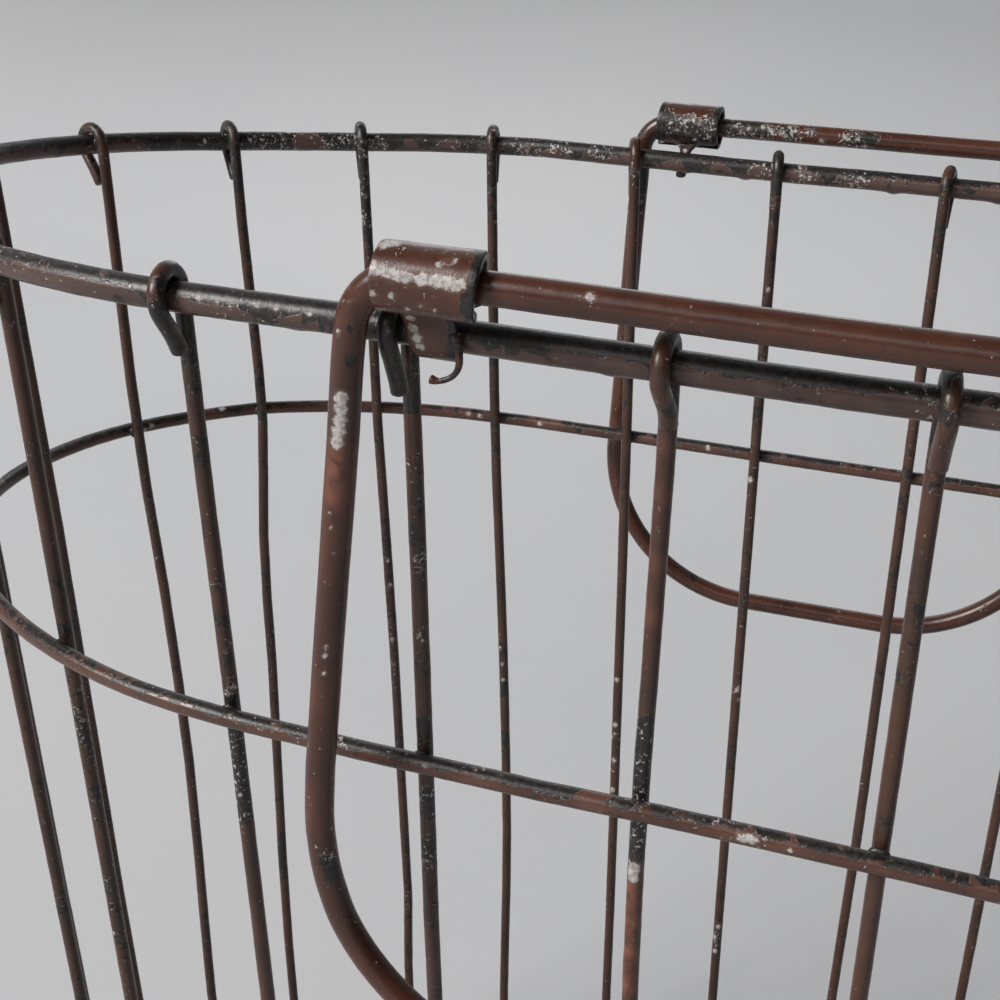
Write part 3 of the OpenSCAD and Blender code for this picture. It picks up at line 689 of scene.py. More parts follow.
        ("dark", (-8.5, 96.5, 327.0), 3.2, 0.42),
        ("dark", (-3.6, 96.5, 326.7), 3.2, 0.42),
        ("fleck", (-36.9, 96.5, 326.8), 3.2, 0.5),
        ("fleck", (-29.9, 96.5, 326.7), 3.2, 0.5),
        ("fleck", (-21.0, 96.5, 326.7), 3.2, 0.5),
        ("fleck", (-8.5, 96.6, 326.3), 3.2, 0.5),
        ("bare_and_sheen", (-35.8, 96.5, 326.7), 1.3, 0.6),
        ("bare_and_sheen", (-30.4, 96.9, 328.1), 1.3, 0.6),
        ("bare_and_sheen", (-25.3, 96.6, 326.3), 1.3, 0.6),
        ("bare_and_sheen", (-15.4, 96.7, 325.9), 1.3, 0.6),
        ("bare_and_sheen", (-4.7, 97.1, 325.3), 1.3, 0.6),
        ("fleck", (-36.4, 96.5, 326.9), 2.7, 0.4),
        ("fleck", (-23.6, 96.5, 327.0), 2.7, 0.4),
        ("fleck", (-8.5, 96.5, 326.8), 2.7, 0.4),
        ("bare_and_sheen", (-60.6, 97.2, 305.9), 0.8, 0.6),
        ("bare_and_sheen", (-60.4, 97.4, 302.9), 0.8, 0.6),
        ("dark", (-61.5, 96.6, 311.7), 2.7, 0.5),
        ("dark", (-60.7, 97.0, 305.1), 2.8, 0.5),
    ],
}


def painter(name, dark=0.30, fleck=0.2, cop=0.0, top=0.0, seed=3, rim_wear=0.0, scale=26.0):
    """dark: how much of the paint is worn to black, fleck: how much light chipping, top: extra darkening on upward
    faces. Dark spots of the patch table also paint shade in places, and its pale spots paint highlight bands as well as
    bare metal.
    """
    def f(v, n, s):
        d = dark + 0.22 * fbm(v / scale, seed) + top * sstep(0.15, 0.75, n[:, 2])
        w = fleck + 0.30 * fbm(v / (scale * 0.8), seed + 5)
        c = cop + 0 * d
        b = 0 * d
        if rim_wear:
            near = bump_at(v[:, 2], H - 2, 9)
            d = d + rim_wear * near
            w = w + 0.6 * rim_wear * near
        for kind, centre, reach, amount in PATCHES.get(name, ()):
            g = amount * np.exp(-np.sum((v - np.array(centre)) ** 2, 1) / reach ** 2)
            if kind == "dark": d = d + g
            elif kind == "fleck": w = w + g
            elif kind == "cop": c = c + g
            elif kind == "bare_and_sheen": b = np.maximum(b, g)
        return {"dark": np.clip(d, 0, 1.4), "fleck": np.clip(w, 0, 1.4), "cop": np.clip(c, 0, 1), "bare_and_sheen": np.clip(b, 0, 1)}
    return f


# ---------------------------------------------------------------- materials
def lin(h):
    out = []
    for i in (0, 2, 4):
        c = int(h[i:i + 2], 16) / 255.0
        out.append(c / 12.92 if c <= 0.04045 else ((c + 0.055) / 1.055) ** 2.4)
    return out + [1.0]


def paint_material(name, brown_a, brown_b, rough=0.36, black="171412"):
    m = bpy.data.materials.new(name)
    m.use_nodes = True
    nt = m.node_tree
    nt.nodes.clear()
    new = nt.nodes.new

    def link(a, b): nt.links.new(a, b)

    def math_(op, a, b=None, c=None, clamp=False):
        x = new("ShaderNodeMath"); x.operation = op; x.use_clamp = clamp
        for i, v in enumerate((a, b, c)):
            if v is None: continue
            if isinstance(v, (int, float)): x.inputs[i].default_value = v
            else: link(v, x.inputs[i])
        return x.outputs[0]

    def smooth(v, lo, hi, a=0.0, b=1.0):
        x = new("ShaderNodeMapRange"); x.interpolation_type = "SMOOTHSTEP"
        link(v, x.inputs["Value"])
        x.inputs["From Min"].default_value = lo; x.inputs["From Max"].default_value = hi
        x.inputs["To Min"].default_value = a; x.inputs["To Max"].default_value = b
        return x.outputs["Result"]

    def mixc(f, a, b):
        x = new("ShaderNodeMix"); x.data_type = "RGBA"
        if isinstance(f, (int, float)): x.inputs[0].default_value = f
        else: link(f, x.inputs[0])
        for k, v in ((6, a), (7, b)):
            if isinstance(v, list): x.inputs[k].default_value = v
            else: link(v, x.inputs[k])
        return x.outputs[2]

    co = new("ShaderNodeTexCoord").outputs["Object"]

    def noise(scale, detail=4.0, rough_=0.55, dist=0.0, kind="FBM", stretch=None):
        x = new("ShaderNodeTexNoise"); x.noise_type = kind
        v = co
        if stretch:
            mp = new("ShaderNodeMapping"); mp.inputs["Scale"].default_value = stretch
            link(co, mp.inputs["Vector"]); v = mp.outputs["Vector"]
        link(v, x.inputs["Vector"])
        x.inputs["Scale"].default_value = scale
        x.inputs["Detail"].default_value = detail
        x.inputs["Roughness"].default_value = rough_
        x.inputs["Distortion"].default_value = dist
        return x.outputs["Fac"]

    def attr(nm):
        x = new("ShaderNodeAttribute"); x.attribute_name = nm
        return x.outputs["Fac"]

    dark, fleck, cop, bare_and_sheen = attr("dark"), attr("fleck"), attr("cop"), attr("bare_and_sheen")
    big, mid, small = noise(70, 3), noise(330, 5, 0.6, 0.6), noise(1500, 4, 0.6)
    vein = noise(620, 5, 0.62, 1.6)
    vein2 = noise(900, 4, 0.6, 0.8)
    grain = noise(3600, 2, 0.5)
    brown = mixc(smooth(big, 0.38, 0.62), lin(brown_a), lin(brown_b))
    brown = mixc(smooth(mid, 0.50, 0.72, 0, 0.55), brown, lin("3a261f"))
    brown = mixc(cop, brown, mixc(smooth(mid, 0.4, 0.65), lin("85523f"), lin("5a3528")))
    # chipped to black; the same mask paints black where the dark attribute carries painted shade
    x = math_("ADD", dark, math_("MULTIPLY", math_("SUBTRACT", mid, 0.5), 1.25))
    x = math_("ADD", x, math_("MULTIPLY", math_("SUBTRACT", big, 0.5), 0.55))
    mask = smooth(x, 0.50, 0.58)
    col = mixc(mask, brown, mixc(smooth(small, 0.35, 0.7), lin(black), lin("332e2b")))
    # light chips of primer and bare metal: granular, in clusters, most of them in and beside the black zones
    lump = noise(1250, 3, 0.62, 0.5)
    cluster = smooth(math_("ADD", vein, math_("MULTIPLY", math_("SUBTRACT", fleck, 0.5), 0.50)), 0.50, 0.62)
    beside = smooth(math_("ABSOLUTE", math_("SUBTRACT", x, 0.56)), 0.02, 0.22, 1.0, 0.0)
    y = math_("ADD", lump, math_("MULTIPLY", cluster, 0.12))
    y = math_("ADD", y, math_("MULTIPLY", math_("MULTIPLY", beside, cluster), 0.06))
    fl = smooth(y, 0.70, 0.735)
    edge = smooth(math_("ABSOLUTE", math_("SUBTRACT", x, 0.53)), 0.0, 0.03, 1.0, 0.0)
    edge = math_("MULTIPLY", edge, smooth(math_("ADD", vein2, math_("MULTIPLY", fleck, 0.35)), 0.66, 0.76))
    fl = math_("MAXIMUM", fl, math_("MULTIPLY", edge, 0.55))
    # peel and the pink-grey tint below follow the pale patches: peeled paint, and painted highlight where those patches
    # trace highlight bands
    peel_and_sheen = smooth(math_("ADD", bare_and_sheen, math_("ADD", math_("MULTIPLY", math_("SUBTRACT", lump, 0.5), 0.9), math_("MULTIPLY", math_("SUBTRACT", mid, 0.5), 0.7))), 0.38, 0.60)
    peel_and_sheen = math_("MULTIPLY", peel_and_sheen, smooth(bare_and_sheen, 0.02, 0.12))
    fl = math_("MAXIMUM", fl, math_("MULTIPLY", peel_and_sheen, 0.92))
    light = mixc(smooth(small, 0.35, 0.65), lin("cfcbc7"), lin("928c88"))
    col = mixc(math_("MULTIPLY", smooth(bare_and_sheen, 0.10, 0.9), 0.34), col, lin("a8948e"))
    col = mixc(math_("MULTIPLY", fl, smooth(small, 0.2, 0.55, 0.55, 1.0)), col, light)
    b = new("ShaderNodeBsdfPrincipled")
    link(col, b.inputs["Base Color"])
    r = math_("ADD", rough, math_("MULTIPLY", math_("SUBTRACT", mid, 0.5), 0.25))
    r = math_("ADD", r, math_("MULTIPLY", mask, 0.05))
    r = math_("ADD", r, math_("MULTIPLY", fl, 0.10), clamp=True)
    link(r, b.inputs["Roughness"])
    b.inputs["Specular IOR Level"].default_value = 0.50
    # relief
    h = math_("MULTIPLY", mask, -0.7)
    h = math_("ADD", h, math_("MULTIPLY", fl, 0.35))
    h = math_("ADD", h, math_("MULTIPLY", mid, 0.5))
    h = math_("ADD", h, math_("MULTIPLY", math_("MULTIPLY", small, smooth(dark, 0.1, 0.8, 0.25, 1.0)), 0.6))
    h = math_("ADD", h, math_("MULTIPLY", grain, 0.12))
    bm = new("ShaderNodeBump")
    bm.inputs["Strength"].default_value = 0.55
    bm.inputs["Distance"].default_value = 0.00016
    link(h, bm.inputs["Height"])
    link(bm.outputs["Normal"], b.inputs["Normal"])
    out = new("ShaderNodeOutputMaterial")
    link(b.outputs["BSDF"], out.inputs["Surface"])
    return m


M_WIRE = paint_material("worn_wire_paint", "4a3024", "3a281f", 0.34)
M_RIM = paint_material("worn_rim_paint_and_painted_light", "55403a", "44322d", 0.33)
M_RING = paint_material("worn_ring_paint", "5c3e34", "4a3028", 0.32)
M_ROD = paint_material("handle_rod_paint", "4f2e22", "42271e", 0.29)
M_CLIP = paint_material("clip_sheet_paint", "5a3628", "45281f", 0.30)


def place(o, body, slot, *nodes):
    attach(o, body)
    if nodes:
        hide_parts(*nodes)
    return o


# ---------------------------------------------------------------- the rim and the two rings
def hoop_points(gap, z, step=1.0):
    k = plan_scale(z)
    s = 2 * STRAIGHT * k
    a, b = [SHOULDER * k + gap, 45, 0], [NOSE * k + gap, 90, 0]
    m = T(RACK * z - s / 2, -(WALL * k + gap), H - z) @ R("x", 90) @ R("y", 90)
    p = run(m, [[s], a, b, a, [s], a, b, a], step)
    d = np.linalg.norm(p[-1] - p[0])
    p = p[:-1] if d < step * 0.5 else p
    return resample(np.r_[p, p[:1]], step)[:-1]


RIM_LUMPS = []
for x_ in (-176.0, -150.5, -121.0, -48.9, -33.0, 4.0, 29.0, 51.0, 88.0):   # drips under the rim's far side
    RIM_LUMPS.append(((x_, RIM_HALF + 0.3, H - RIM_D / 2 - 0.1), 1.3, 0.55))
for x_ in (-120.0, -70.0, -22.0, 34.0, 71.0, 118.0):
    RIM_LUMPS.append(((x_, -RIM_HALF, H - RIM_D / 2 - 0.1), 1.2, 0.30))

# Small kinks of single uprights, as (depth below the rim, shift along the wall), in mm
BENDS = {
    "long_wire_4": {"left": [(0, -0.6), (60, -1.9), (90, -1.7), (120, -0.6), (150, -0.2), (175, -0.3), (205, -1.4), (230, -2.6), (255, -3.6)]},
    "long_wire_5": {"left": [(0, 1.0), (20, 0.9), (62, 1.5), (76, 1.3), (92, 0.0), (110, -1.6), (130, -2.45), (150, -2.8), (190, -4.5), (215, -5.6), (250, -6.5), (300, -6.9)]},
    "corner_wire_3": {"far": [(0, -0.6), (24, -0.6), (78, -0.7), (110, -0.1), (150, 0.5), (210, 0.7), (235, 0.8), (262, -0.3), (291, -0.6)]},
    "cross_wire_1": {"far": [(0, -1.4), (65, -1.5), (90, -1.2), (110, -0.65), (130, -0.1), (150, 0.35), (182, 0.75), (210, 0.8), (230, 0.4), (250, -0.25), (270, -0.85), (298, -0.9)],
                     "near": [(0, -0.3), (31, -0.25), (67, 0.1), (91, 0.15), (130, 0.25), (298, 0.3)]},
    "cross_wire_2": {"far": [(0, -0.4), (120, -0.2), (230, -0.45), (262, -0.75), (298, -0.8)],
                     "near": [(0, -0.4), (31, -0.45), (67, -0.65), (110, -0.9), (200, -0.7), (298, -0.3)]},
    "cross_wire_3": {"far": [(0, -1.75), (60, -1.85), (106, -1.75), (188, -1.5), (250, -1.4), (298, -1.3)],
                     "near": [(0, 1.1), (18, 0.8), (37, 0.3), (50, 0.0), (67, -0.5), (88, -0.9), (110, -0.95), (200, -0.7), (298, -0.4)]},
    "cross_wire_4": {"far": [(0, 0.9), (120, 0.85), (170, 0.7), (190, 0.55), (210, 0.15), (240, -0.45), (298, -0.6)]},
    "cross_wire_5": {"near": [(0, 0.4), (60, 0.9), (130, 0.2), (210, -0.5), (298, -0.2)], "far": [(0, -0.3), (74, 0.6), (150, 0.9), (298, 0.2)]},
    "cross_wire_6": {"near": [(0, -0.5), (74, -0.2), (150, 0.7), (298, 0.3)], "far": [(0, 0.3), (90, -0.6), (200, 0.1), (298, 0.2)]},
    "long_wire_2": {"left": [(0, 0.5), (74, -0.4), (180, 0.8), (300, 0.2)], "right": [(0, -0.4), (90, 0.8), (200, 0.4), (300, -0.3)]},
    "long_wire_3": {"left": [(0, -0.3), (90, 0.6), (200, -0.5), (300, 0.1)], "right": [(0, 0.6), (74, -0.5), (150, -0.9), (300, 0.2)]},
    "corner_wire_2": {"near": [(0, 0.4), (74, 0.9), (160, -0.2), (291, 0.2)]},
    "corner_wire_4": {"far": [(0, -0.5), (80, 0.7), (190, 0.9), (291, 0.2)]},
}
# How the hoops sag and rise a little along the two long walls: (x, height), in mm
SETTLE = {
    "rim": {"far": [(-200, -0.6), (-179, -1.0), (-166, -1.25), (-150, -1.25), (-133, -0.95), (-118, -0.35), (-103, 0.1), (-87, 0.5), (-73, 0.4), (-20, 0.05), (-3, 0.25), (40, 0.2), (90, -0.3), (200, 0.2)],
            "near": [(-200, -0.3), (-140, 0.0), (-87, 0.15), (-66, 0.22), (-37, 0.06), (-24, -0.03), (-10, -0.18), (13, -0.33), (60, -0.1), (120, 0.3), (200, 0.2)]},
    "ring": {"far": [(-200, 0.2), (-173, 0.45), (-157, 1.1), (-125, 0.32), (-93, -0.46), (-74, -0.37), (-47, -0.27), (5, -0.13), (80, 0.2), (200, 0.1)],
             "near": [(-200, 0.1), (-107, 0.05), (-91, 0.22), (-73, 0.0), (-61, -0.18), (-29, -0.08), (-8, 0.36), (9, 0.5), (30, 0.55), (90, 0.0), (200, 0.1)]},
}


def settle(p, at):
    """Height offsets for points p, blending the far and the near table across the width."""
    f, n = (np.array(SETTLE[at][k]) for k in ("far", "near"))
    w = sstep(-70, 70, p[:, 1])
    return np.interp(p[:, 0], f[:, 0], f[:, 1]) * w + np.interp(p[:, 0], n[:, 0], n[:, 1]) * (1 - w)


def shift_of(knots, depth):
    if not knots:
        return 0 * depth
    k = np.array(knots, float)
    out = np.interp(depth, k[:, 0], k[:, 1])
    return out


# ---------------------------------------------------------------- uprights
def hook_run(m, roll, tail=TAIL, reach=2.75, turn=HOOK_TURN, side=0.0):
    """The hook over the rim and its tail, whose end leans in to the upright, and a little sideways."""
    p = run(m, [[HOOK_R, turn, roll], [tail]], 0.7)
    o, a = pt(m, 0, 0, 0), m[:3, 2]
    s = np.r_[0, np.cumsum(np.linalg.norm(np.diff(p, axis=0), axis=1))]
    to = o + np.outer((p - o) @ a, a) - p
    L = np.linalg.norm(to[-1])
    d = to / np.maximum(np.linalg.norm(to, axis=1), 1e-6)[:, None]
    w = sstep(s[-1] - tail - 1.0, s[-1] - 0.25 * tail, s)
    return p + d * (w * max(0.0, L - reach))[:, None] + np.cross(d[-1], a)[None, :] * (w * side)[:, None]


def u_centre(m, drop, left, right, step=1.0):
    """Centreline of a U-wire with its two hooks. left and right: (distance, inward lean, hook roll, hook options)."""
    g = HOOK_R * cos(TWIST)
    top = lambda s: (s[0] - g * (1 - cos(s[1])), g * sin(s[1]))
    leg = lambda s: (drop + top(s)[1] - FLOOR_R * (1 - sin(s[1]))) / cos(s[1])
    foot = lambda s: top(s)[0] - leg(s) * sin(s[1]) - FLOOR_R * cos(s[1])
    m = m @ T(-top(left)[0], 0, top(left)[1])
    a = m @ R("y", 180 - left[1])
    main = run(a, [[leg(left)], [FLOOR_R, 90 - left[1], 180], [foot(left) + foot(right)],
                   [FLOOR_R, 90 - right[1], 180], [leg(right)]], step)
    # frame at the right upright's top, to start its hook
    e = a @ T(0, 0, leg(left)) @ R("z", 180) @ T(FLOOR_R * (1 - cos(90 - left[1])), 0, FLOOR_R * sin(90 - left[1])) @ R("y", 90 - left[1]) @ R("z", -180)
    e = e @ T(0, 0, foot(left) + foot(right)) @ R("z", 180) @ T(FLOOR_R * (1 - cos(90 - right[1])), 0, FLOOR_R * sin(90 - right[1])) @ R("y", 90 - right[1]) @ R("z", -180)
    e = e @ T(0, 0, leg(right))
    hr = hook_run(e, right[2], **(right[3] if len(right) > 3 else {}))
    lm = m @ R("y", -left[1])
    hl = hook_run(lm, left[2], **(left[3] if len(left) > 3 else {}))
    return hl, main, hr


def cross_centre(x, near_hook, far_hook):
    side = 1 if x < 0 else -1
    (twist_n, opt_n), (twist_f, opt_f) = near_hook, far_hook
    near, far = x + SKEW, x - SKEW
    turn = atan(SKEW / WALL)
    tilt = atan(RACK - TAPER * x)
    drift = math.tan(math.radians(tilt)) * sin(turn)
    lean = lambda y, d: atan(cos(tilt) * (TAPER * y + d) / cos(turn))
    sg = lambda v: (v > 0) - (v < 0)
    m = T(x, 0, H) @ R("z", 90 + turn) @ R("x", -tilt)
    tn, tf = sg(near) * wall_turn(near), sg(far) * wall_turn(far)
    return u_centre(m, (H - WIRE_D / 2) / cos(tilt),
                    (wall_y(near) / cos(turn), lean(wall_y(near), -drift), 180 - side * twist_n - turn - tn, opt_n),
                    (wall_y(far) / cos(turn), lean(wall_y(far), drift), side * twist_f - turn - tf, opt_f))


def long_centre(y):
    x = end_x(y)
    a = end_normal(y) - TWIST
    s = -1 if y < 0 else 1
    m = T(0, y, H) @ R("x", -atan(TAPER * y))
    return u_centre(m, H - WIRE_D * 1.5, (x, atan(RACK + TAPER * x), 180 - s * a), (x, atan(TAPER * x - RACK), s * a))


def corner_centre(sx, sy):
    z = H - LOW_Z
    p = np.array([sx * end_x(YC), sy * YC])
    q = np.array([p[0] * plan_scale(z) + RACK * z, p[1] * plan_scale(z)])
    d = p - q
    azim = atan2(d[1], d[0])
    na = end_normal(YC)
    out = atan2(sy * sin(na), sx * cos(na))
    lean = atan(np.linalg.norm(d) / z)
    m = T(q[0], q[1], LOW_Z) @ R("z", azim) @ R("y", lean)
    L = z / cos(lean) + HOOK_R * cos(TWIST) * sin(lean)
    main = run(m, [[L]])
    e = m @ T(0, 0, L)
    hook = hook_run(e, out - azim - sx * sy * TWIST)
    low = run(m @ R("x", 180), [[RING_GAP + 0.05, 180, azim - out], [3.0]], 0.7)
    return low, main, hook


CENTRES = {}    # node: full centreline


def wire(name, parts, mat, seed, dark, fleck, ends):
    """parts: (left hook, main, right hook). ends: [(key, test on points, direction)] to apply the small kinks."""
    hl, main, hr = parts
    p = np.r_[hl[::-1], main[1:], hr[1:]]
    for key, test, direction in ends:
        kn = BENDS.get(name, {}).get(key)
        if kn:
            p = p + np.outer(shift_of(kn, H - p[:, 2]) * test(p), direction)
    p = resample(p, 0.9)
    p[:, 2] += settle(p, "rim") * sstep(60, 0, H - p[:, 2])
    CENTRES[name] = p
    v, f, a = sweep(p, WIRE_D / 2, 14, rough=0.09, seed=seed,
                    paint=painter(name, dark=dark, fleck=fleck, seed=seed, rim_wear=0.18))
    o = mesh_obj("wire_" + name, v, f, a, mat)
    place(o, "basket", "worn_dark_paint", name)
    return o


# Turn of single hooks about their uprights, and how their tails run: near, far
HOOKS = {"cross_wire_1": ((0.0, {"tail": 8.0}), (5.0, {})),
         "cross_wire_2": ((1.5, {"tail": 8.7, "turn": 198.0, "reach": 4.5, "side": 0.1}), (ARM_TWIST, {})),
         "cross_wire_3": ((0.0, {"side": 0.6, "tail": 8.0}), (9.0, {})),
         "cross_wire_4": ((5.0, {"tail": 8.2}), (7.0, {})),
         "cross_wire_5": ((ARM_TWIST, {}), (TWIST, {"tail": 8.0})),
         "cross_wire_6": ((9.0, {}), (4.0, {"tail": 8.2}))}


def build_basket():
    for nm, d, gap, z, mat, slot, dk, flk, tp in (
            ("rim_hoop", RIM_D, RIM_GAP, 0, M_RIM, "worn_dark_paint", 0.42, 0.42, 0.30),
            ("upper_ring", RING_D, RING_GAP, RING_DROP, M_RING, "brown_paint", 0.28, 0.34, 0.34),
            ("lower_ring", RING_D, RING_GAP, H - LOW_Z, M_RING, "brown_paint", 0.30, 0.30, 0.30)):
        p = hoop_points(gap, z)
        if nm != "lower_ring":
            p[:, 2] += settle(p, "rim" if z == 0 else "ring")
        CENTRES[nm] = p
        v, f, a = sweep(p, d / 2, 20, closed=True, rough=0.10, seed=11 + int(z), lumps=RIM_LUMPS if z == 0 else (),
                        paint=painter(nm, dark=dk, fleck=flk, top=tp, seed=21 + int(z)))
        o = mesh_obj("hoop_" + nm, v, f, a, mat)
        place(o, "basket", slot, nm)
    for i, k in enumerate((-2.5, -1.5, -0.5, 0.5, 1.5, 2.5)):
        nm = "cross_wire_%d" % (i + 1)
        x = k * PITCH
        tn, tf = HOOKS[nm]
        wire(nm, cross_centre(x, tn, tf), M_WIRE, 40 + i, 0.40, 0.26,
             [("near", lambda p: np.clip(0.5 - p[:, 1] / 140, 0, 1), (1, 0, 0)), ("far", lambda p: np.clip(0.5 + p[:, 1] / 140, 0, 1), (1, 0, 0))])
    for i, y in enumerate((-Y2, -Y1, 0, Y1, Y2)):
        nm = "long_wire_%d" % (i + 1)
        na = end_normal(y)
        s = -1 if y < 0 else 1
        wire(nm, long_centre(y), M_WIRE, 60 + i, 0.42, 0.26,
             [("left", lambda p: np.clip(0.5 - p[:, 0] / 240, 0, 1), (sin(na), s * cos(na), 0)),
              ("right", lambda p: np.clip(0.5 + p[:, 0] / 240, 0, 1), (-sin(na), s * cos(na), 0))])
    for i, (sx, sy) in enumerate(((-1, -1), (1, -1), (-1, 1), (1, 1))):
        nm = "corner_wire_%d" % (i + 1)
        na = end_normal(YC)
        wire(nm, corner_centre(sx, sy), M_WIRE, 80 + i, 0.44, 0.34,
             [("near" if sy < 0 else "far", lambda p: np.ones(len(p)), (sin(na), -sx * sy * cos(na), 0))])


# ---------------------------------------------------------------- weld beads where wires cross
def bead(c, axes, size, seed):
    """A small lumpy bead: centre, three axes, half sizes in mm."""
    bm = bmesh.new()
    bmesh.ops.create_icosphere(bm, subdivisions=3, radius=1.0)
    v = np.array([w.co[:] for w in bm.verts])
    f = [[w.index for w in q.verts] for q in bm.faces]
    bm.free()
    k = 1 + 0.16 * fbm(v * 1.3 + seed * 3.1, seed)
    p = v * k[:, None] * np.array(size)
    p = p @ np.array(axes) + np.array(c)
    n = v @ np.array(axes)
    return p, f, painter("bead", dark=0.62, fleck=0.30, seed=seed)(p, n, None)


def nearest(p, target):
    return int(np.argmin(np.sum((p - np.asarray(target)) ** 2, 1)))


def build_beads():
    rims = {"rim": (CENTRES["rim_hoop"], []), "upper": (CENTRES["upper_ring"], []), "lower": (CENTRES["lower_ring"], []), "floor": (None, [])}
    ups = [n for n in CENTRES if "wire" in n]
    seed = 500
    for key in ("rim", "upper", "lower"):
        ring, out = rims[key]
        zr = ring[0][2]
        for nm in ups:
            p = CENTRES[nm]
            d = np.abs(p[:, 2] - zr)
            # crossings of the ring's level, one on each side
            idx = np.where((p[:-1, 2] - zr) * (p[1:, 2] - zr) <= 0)[0]
            for k in idx:
                c = p[k]
                j = nearest(ring, c)
                near = np.arange(max(0, k - 4), min(len(p), k + 6))
                c = p[near[np.argmin(np.abs(p[near, 2] - ring[j][2]))]]
                j = nearest(ring, c)
                gap = np.linalg.norm((ring[j] - c)[:2])
                if gap > 4.6 or gap < 2.2:
                    continue
                n = (ring[j] - c); n[2] = 0; n /= np.linalg.norm(n)
                if key == "rim" and np.linalg.norm(c[:2]) > np.linalg.norm(ring[j][:2]):
                    continue    # the tail's side
                seed += 1
                mid = c + n * (WIRE_D / 2)
                t = np.cross([0, 0, 1.0], n)
                sz = (0.9, 1.75, 1.55) if key != "rim" else (0.8, 1.7, 1.7)
                out.append(bead(mid, [n, t, np.array([0, 0, 1.0])], sz, seed))
    # floor crossings
    floor = rims["floor"][1]
    for i in range(6):
        a = CENTRES["cross_wire_%d" % (i + 1)]
        a = a[a[:, 2] < 3.0]
        for j in range(5):
            b = CENTRES["long_wire_%d" % (j + 1)]
            b = b[b[:, 2] < 6.0]
            if len(a) < 2 or len(b) < 2:
                continue
            dd = np.sum((a[:, None, :2] - b[None, :, :2]) ** 2, 2)
            k = np.unravel_index(np.argmin(dd), dd.shape)
            if dd[k] > 2.0:
                continue
            seed += 1
            floor.append(bead((a[k[0]] + b[k[1]]) / 2, np.eye(3), (1.6, 1.6, 0.8), seed))
    for key, (_, parts) in rims.items():
        if not parts:
            continue
        v, f, a = merge(parts)
        o = mesh_obj("weld_beads_" + key, v, f, a, M_WIRE)
        place(o, "basket", "worn_dark_paint")


# ---------------------------------------------------------------- handles
def handle_centre(which, step=0.8):
    fl = FLARE[which]
    bar = H_HALF - TOP_R
    arm = (DROP - TOP_R * (1 - sin(fl)) - LOW_R * (1 + sin(fl))) / cos(fl)
    grip = bar + TOP_R * cos(fl) + arm * sin(fl) - LOW_R * cos(fl)
    sy = -1 if which == "front" else 1
    m = T(-sy * H_SHIFT, sy * (RIM_HALF + P_OUT), H + P_UP) @ T(-bar, 0, 0) @ R("y", 90)
    p = run(m, [[2 * bar], [TOP_R, 90 - fl, 0], [arm], [LOW_R, 90 + fl, 0], [2 * grip],
                [LOW_R, 90 + fl, 0], [arm], [TOP_R, 90 - fl, 0]], step)
    return resample(np.r_[p[:-1], p[:1]], step)[:-1]


# Small bends of the rods, in mm: sideways by height above the rim (left and right arm), and upwards by x (top bar and grip)
ROD_BENDS = {
    "front": {"left": [(-130, -0.1), (-110, -0.35), (-101, -0.3), (-96, 0.0), (-87, 0.2), (-78, -0.07), (-72, -0.23), (-51, 0.0), (-24, 0.4), (-15, 0.53), (9, 0.5)],
              "right": [(-130, 0.0), (-95, 0.3), (-60, -0.4), (-20, -0.2), (9, 0.1)],
              "bar": [(-60, 0.72), (-33, 0.54), (-16, 0.34), (7, 0.1), (30, 0.0), (60, -0.2)],
              "grip": [(-50, 0.0), (0, 0.1), (50, 0.3)]},
    "back": {"left": [(-130, 0.0), (-60, 0.1), (-20, -0.1), (9, 0.0)],
             "right": [(-130, 0.0), (-90, -0.4), (-40, 0.4), (9, 0.0)],
             "bar": [(-62, -0.2), (-48, -0.24), (-39, -0.28), (-31, -0.17), (-10, -0.07), (60, 0.1)],
             "grip": [(-45, -0.6), (-38, -0.55), (-18, -0.47), (2, -0.23), (14, -0.08), (45, 0.2)]},
}


EASE = {"front": (0.8, 0.2), "back": (0.3, 0.1)}


def build_handles():
    for which, seed in (("front", 101), ("back", 131)):
        nm = "handle_" + which
        p = handle_centre(which)
        z, x = p[:, 2] - H, p[:, 0].copy()
        tab = {k: np.array(v) for k, v in ROD_BENDS[which].items()}
        for key, side in (("left", -1), ("right", 1)):
            p[:, 0] += np.interp(z, tab[key][:, 0], tab[key][:, 1]) * sstep(8, 40, side * x)
        p[:, 2] += np.interp(x, tab["bar"][:, 0], tab["bar"][:, 1]) * sstep(-20, 4, z)
        p[:, 2] += np.interp(x, tab["grip"][:, 0], tab["grip"][:, 1]) * sstep(-60, -105, z)
        for sx, ease in zip((-1, 1), EASE[which]):      # the upper corners were bent a little rounder than the others
            c = np.array([sx * (H_HALF - 0.29 * TOP_R) + (H_SHIFT if which == "front" else -H_SHIFT), H + P_UP - 0.29 * TOP_R])
            g = ease * np.exp(-((p[:, 0] - c[0]) ** 2 + (p[:, 2] - c[1]) ** 2) / 36.0)
            p[:, 0] -= sx * 0.7 * g
            p[:, 2] -= 0.7 * g
        CENTRES[nm] = p
        dk, flk = (0.16, 0.18) if which == "front" else (0.34, 0.34)
        v, f, a = sweep(p, ROD_D / 2, 28, closed=True, rough=0.06, seed=seed, paint=painter(nm, dark=dk, fleck=flk, seed=seed))
        o = mesh_obj("rod_" + nm, v, f, a, M_ROD)
        place(o, which + "_handle", "copper_brown_paint", nm)


